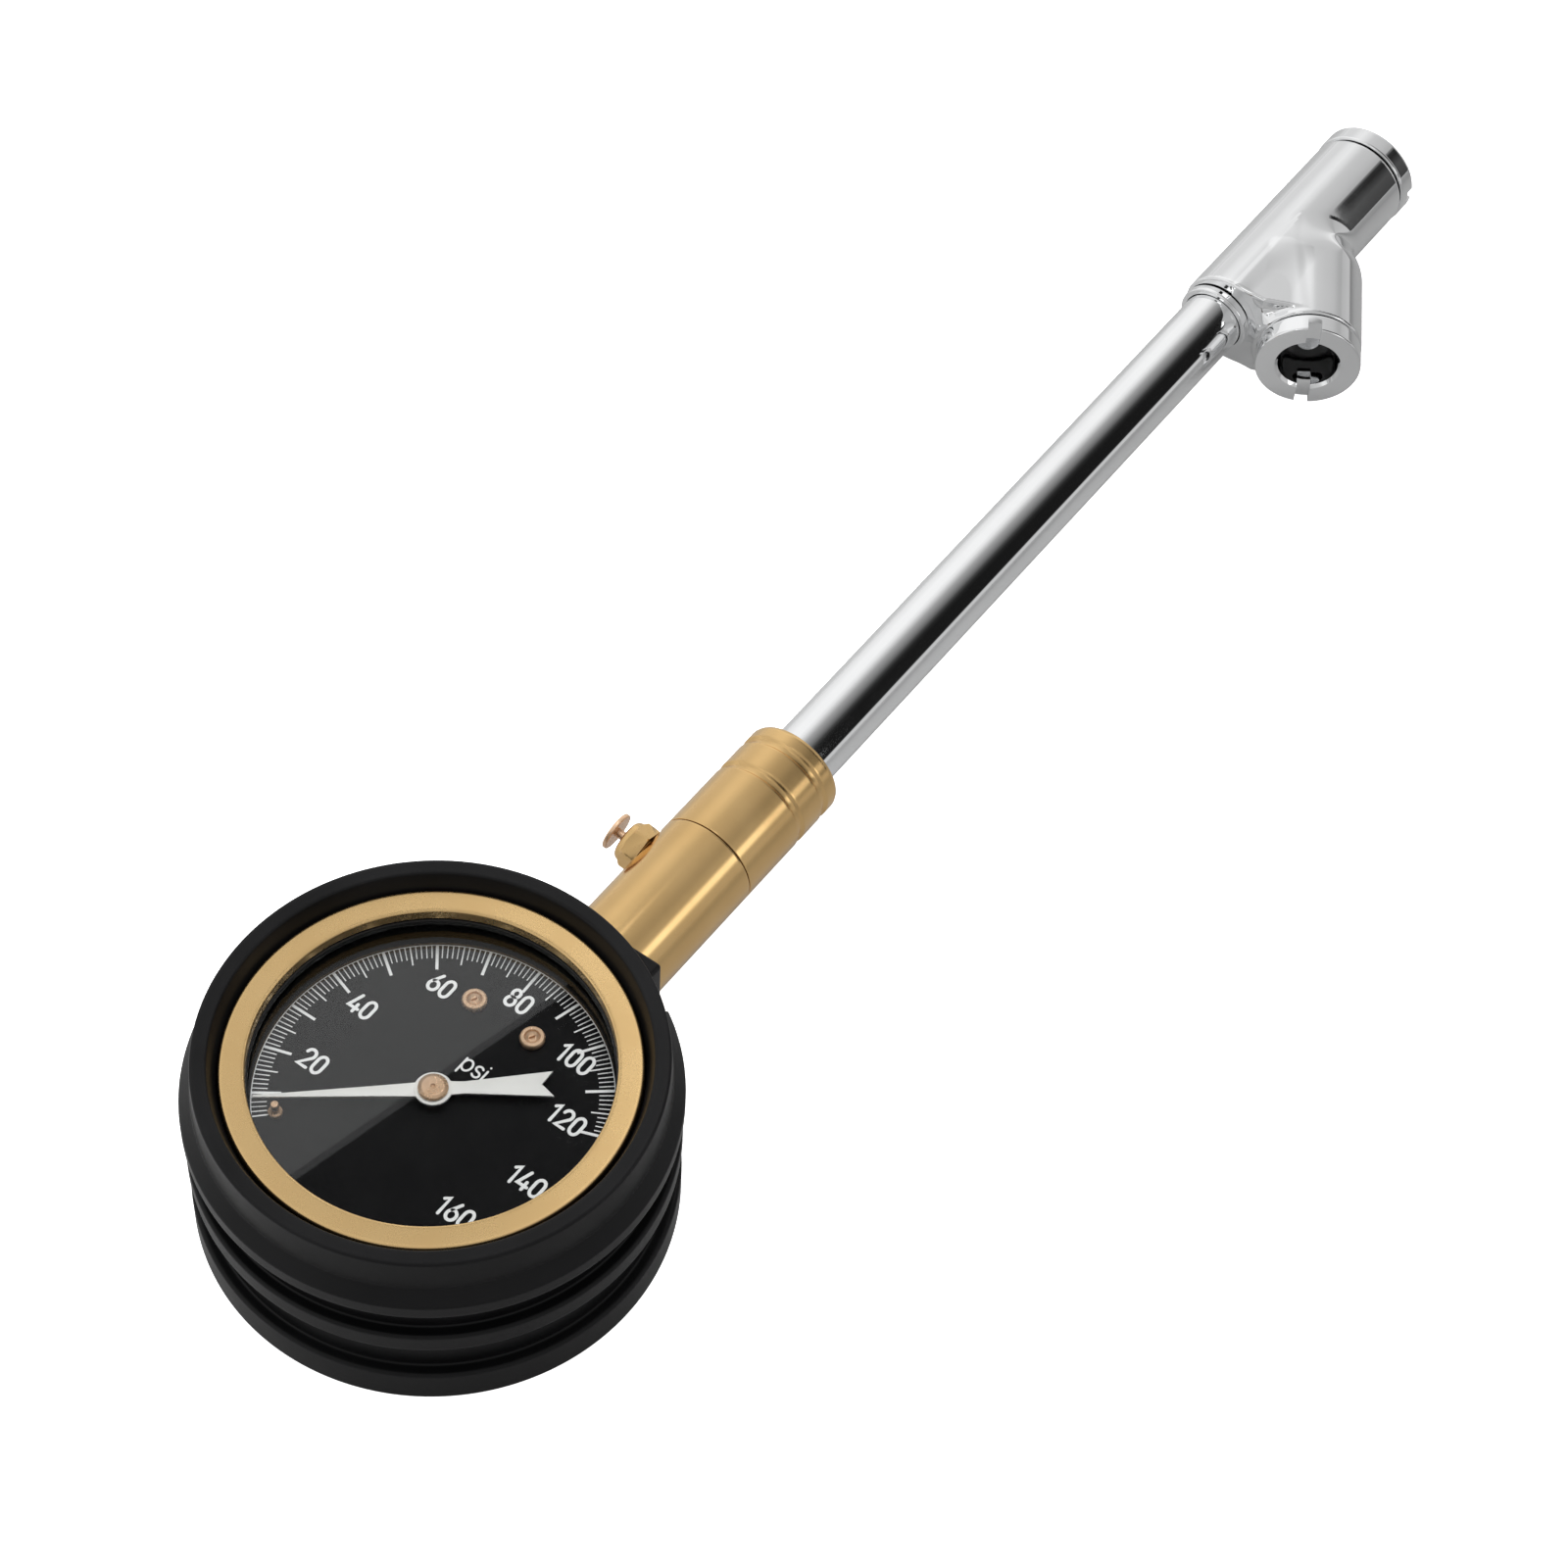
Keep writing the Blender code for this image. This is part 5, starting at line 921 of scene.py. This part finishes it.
def by_angle(tree, vector, levels):
    """The level for the direction of a vector round the Y axis."""
    start, end = levels[0][0], levels[-1][0]
    parts = tree.nodes.new("ShaderNodeSeparateXYZ")
    turn = tree.nodes.new("ShaderNodeMath")
    turn.operation = "ARCTAN2"
    share = tree.nodes.new("ShaderNodeMapRange")
    share.inputs["From Min"].default_value = math.radians(start)
    share.inputs["From Max"].default_value = math.radians(end)
    ramp = tree.nodes.new("ShaderNodeValToRGB")
    ramp.color_ramp.interpolation = "LINEAR"
    stops = ramp.color_ramp.elements
    for i, (degrees, level) in enumerate(levels):
        stop = stops[i] if i < 2 else stops.new(0.999)
        stop.position = (degrees - start) / (end - start)
        stop.color = (level, level, level, 1)
    tree.links.new(vector, parts.inputs[0])
    tree.links.new(parts.outputs["Z"], turn.inputs[0])
    tree.links.new(parts.outputs["X"], turn.inputs[1])
    tree.links.new(turn.outputs[0], share.inputs["Value"])
    tree.links.new(share.outputs["Result"], ramp.inputs["Fac"])
    return ramp.outputs["Color"]


def sky():
    """A tent of soft light, brightest from the left."""
    world = bpy.data.worlds.new("studio")
    bpy.context.scene.world = world
    world.use_nodes = True
    tree = world.node_tree
    coordinates = tree.nodes.new("ShaderNodeTexCoord")
    background = tree.nodes["Background"]
    tree.links.new(by_angle(tree, coordinates.outputs["Generated"], SKY), background.inputs["Color"])
    background.inputs["Strength"].default_value = 1.0


def glowing(name):
    material = bpy.data.materials.new(name)
    material.use_nodes = True
    tree = material.node_tree
    tree.nodes.clear()
    output = tree.nodes.new("ShaderNodeOutputMaterial")
    emission = tree.nodes.new("ShaderNodeEmission")
    tree.links.new(emission.outputs[0], output.inputs["Surface"])
    return material, tree, emission


def staged(name, verts, faces, material):
    """A card that only shows in reflections."""
    mesh = bpy.data.meshes.new(name)
    mesh.from_pydata([Vector(v) * MM for v in verts], [], faces)
    mesh.materials.append(material)
    card = bpy.data.objects.new(name, mesh)
    bpy.context.scene.collection.objects.link(card)
    card.visible_camera = card.visible_diffuse = card.visible_shadow = False
    card.visible_transmission = card.visible_volume_scatter = False


def curved_card(name, low, high, levels):
    """Part of a cylinder round the stem between two stations, lit by angle."""
    material, tree, emission = glowing(name)
    coordinates = tree.nodes.new("ShaderNodeTexCoord")
    level = by_angle(tree, coordinates.outputs["Object"], levels)
    tree.links.new(level, emission.inputs["Color"])
    start, end = levels[0][0], levels[-1][0]
    steps = int(end - start)
    turns = [math.radians(start + (end - start) * i / steps) for i in range(steps + 1)]
    verts = [(CARD_RADIUS * math.cos(a), y, CARD_RADIUS * math.sin(a)) for a in turns for y in (low, high)]
    faces = [(2 * i, 2 * i + 1, 2 * i + 3, 2 * i + 2) for i in range(steps)]
    staged(name, verts, faces, material)


def flat_card(name, outline, level):
    material, _, emission = glowing(name)
    emission.inputs["Color"].default_value = (level, level, level, 1)
    staged(name, [(x, y, FLAG_Z) for x, y in outline], [tuple(range(len(outline)))], material)


def area(name, at, towards, size, power):
    """A soft lamp for the matt surfaces, which doesn't show in the shiny ones."""
    data = bpy.data.lights.new(name, "AREA")
    data.shape = "RECTANGLE"
    data.size, data.size_y = size
    data.energy = power
    lamp = bpy.data.objects.new(name, data)
    lamp.location = at
    lamp.rotation_euler = (Vector(towards) - Vector(at)).to_track_quat("-Z", "Y").to_euler()
    data.spread = math.radians(60)
    lamp.visible_glossy = False
    bpy.context.scene.collection.objects.link(lamp)


def lights():
    curved_card("tube_flag", 248, 430, TUBE_FLAG)
    curved_card("chuck_flag", 465, 545, CHUCK_FLAG)
    curved_card("brass_strip", 110, 252, STRIP)
    # The lens mirrors a flat round of air above it, dark over its lower right half and bright beyond that.
    rim = [math.radians(LENS_DARK_FROM - 180 * i / 60) for i in range(61)]
    flat_card("lens_flag", [polar(LENS_IMAGE_RADIUS, a, LENS_IMAGE) for a in rim], 0.02)
    for name, first, last, outer, level in BEZEL_GLOWS:
        turns = [math.radians(first + (last - first) * i / 40) for i in range(41)]
        ring = [polar(LENS_IMAGE_RADIUS + 1, a, LENS_IMAGE) for a in turns]
        ring += [polar(outer, a, LENS_IMAGE) for a in reversed(turns)]
        flat_card(name, ring, level)
    area("dial_key", (-0.05, 0.12, 0.55), (0.0, 0.02, 0.02), (0.35, 0.35), 0.42)


# ------------------------------------------------------------------ assembly
def finish_nodes():
    """Every CAD node that stays in view takes the procedural finish of its slot."""
    slots = {entry["node"]: entry["material_slot"] for entry in frame["record"]["subparts"]}
    for name, node in frame["nodes"].items():
        # The gauge case takes brass with painted shade inside, not its slot's finish.
        coat(node, "case" if name == "gauge_case" else NODE_FINISH[slots[name]])


bpy.context.scene.view_settings.view_transform = "Standard"
camera()
floor()
sky()
lights()
finish_nodes()
rubber_boot()
window()
dial()
dial_screws()
pointer()
stem()
bleeder()
tube()
chuck_body()
foot("front", FRONT, 0.0, "front_depressor")
foot("angled", BRANCH, math.pi / 2, "angled_depressor")
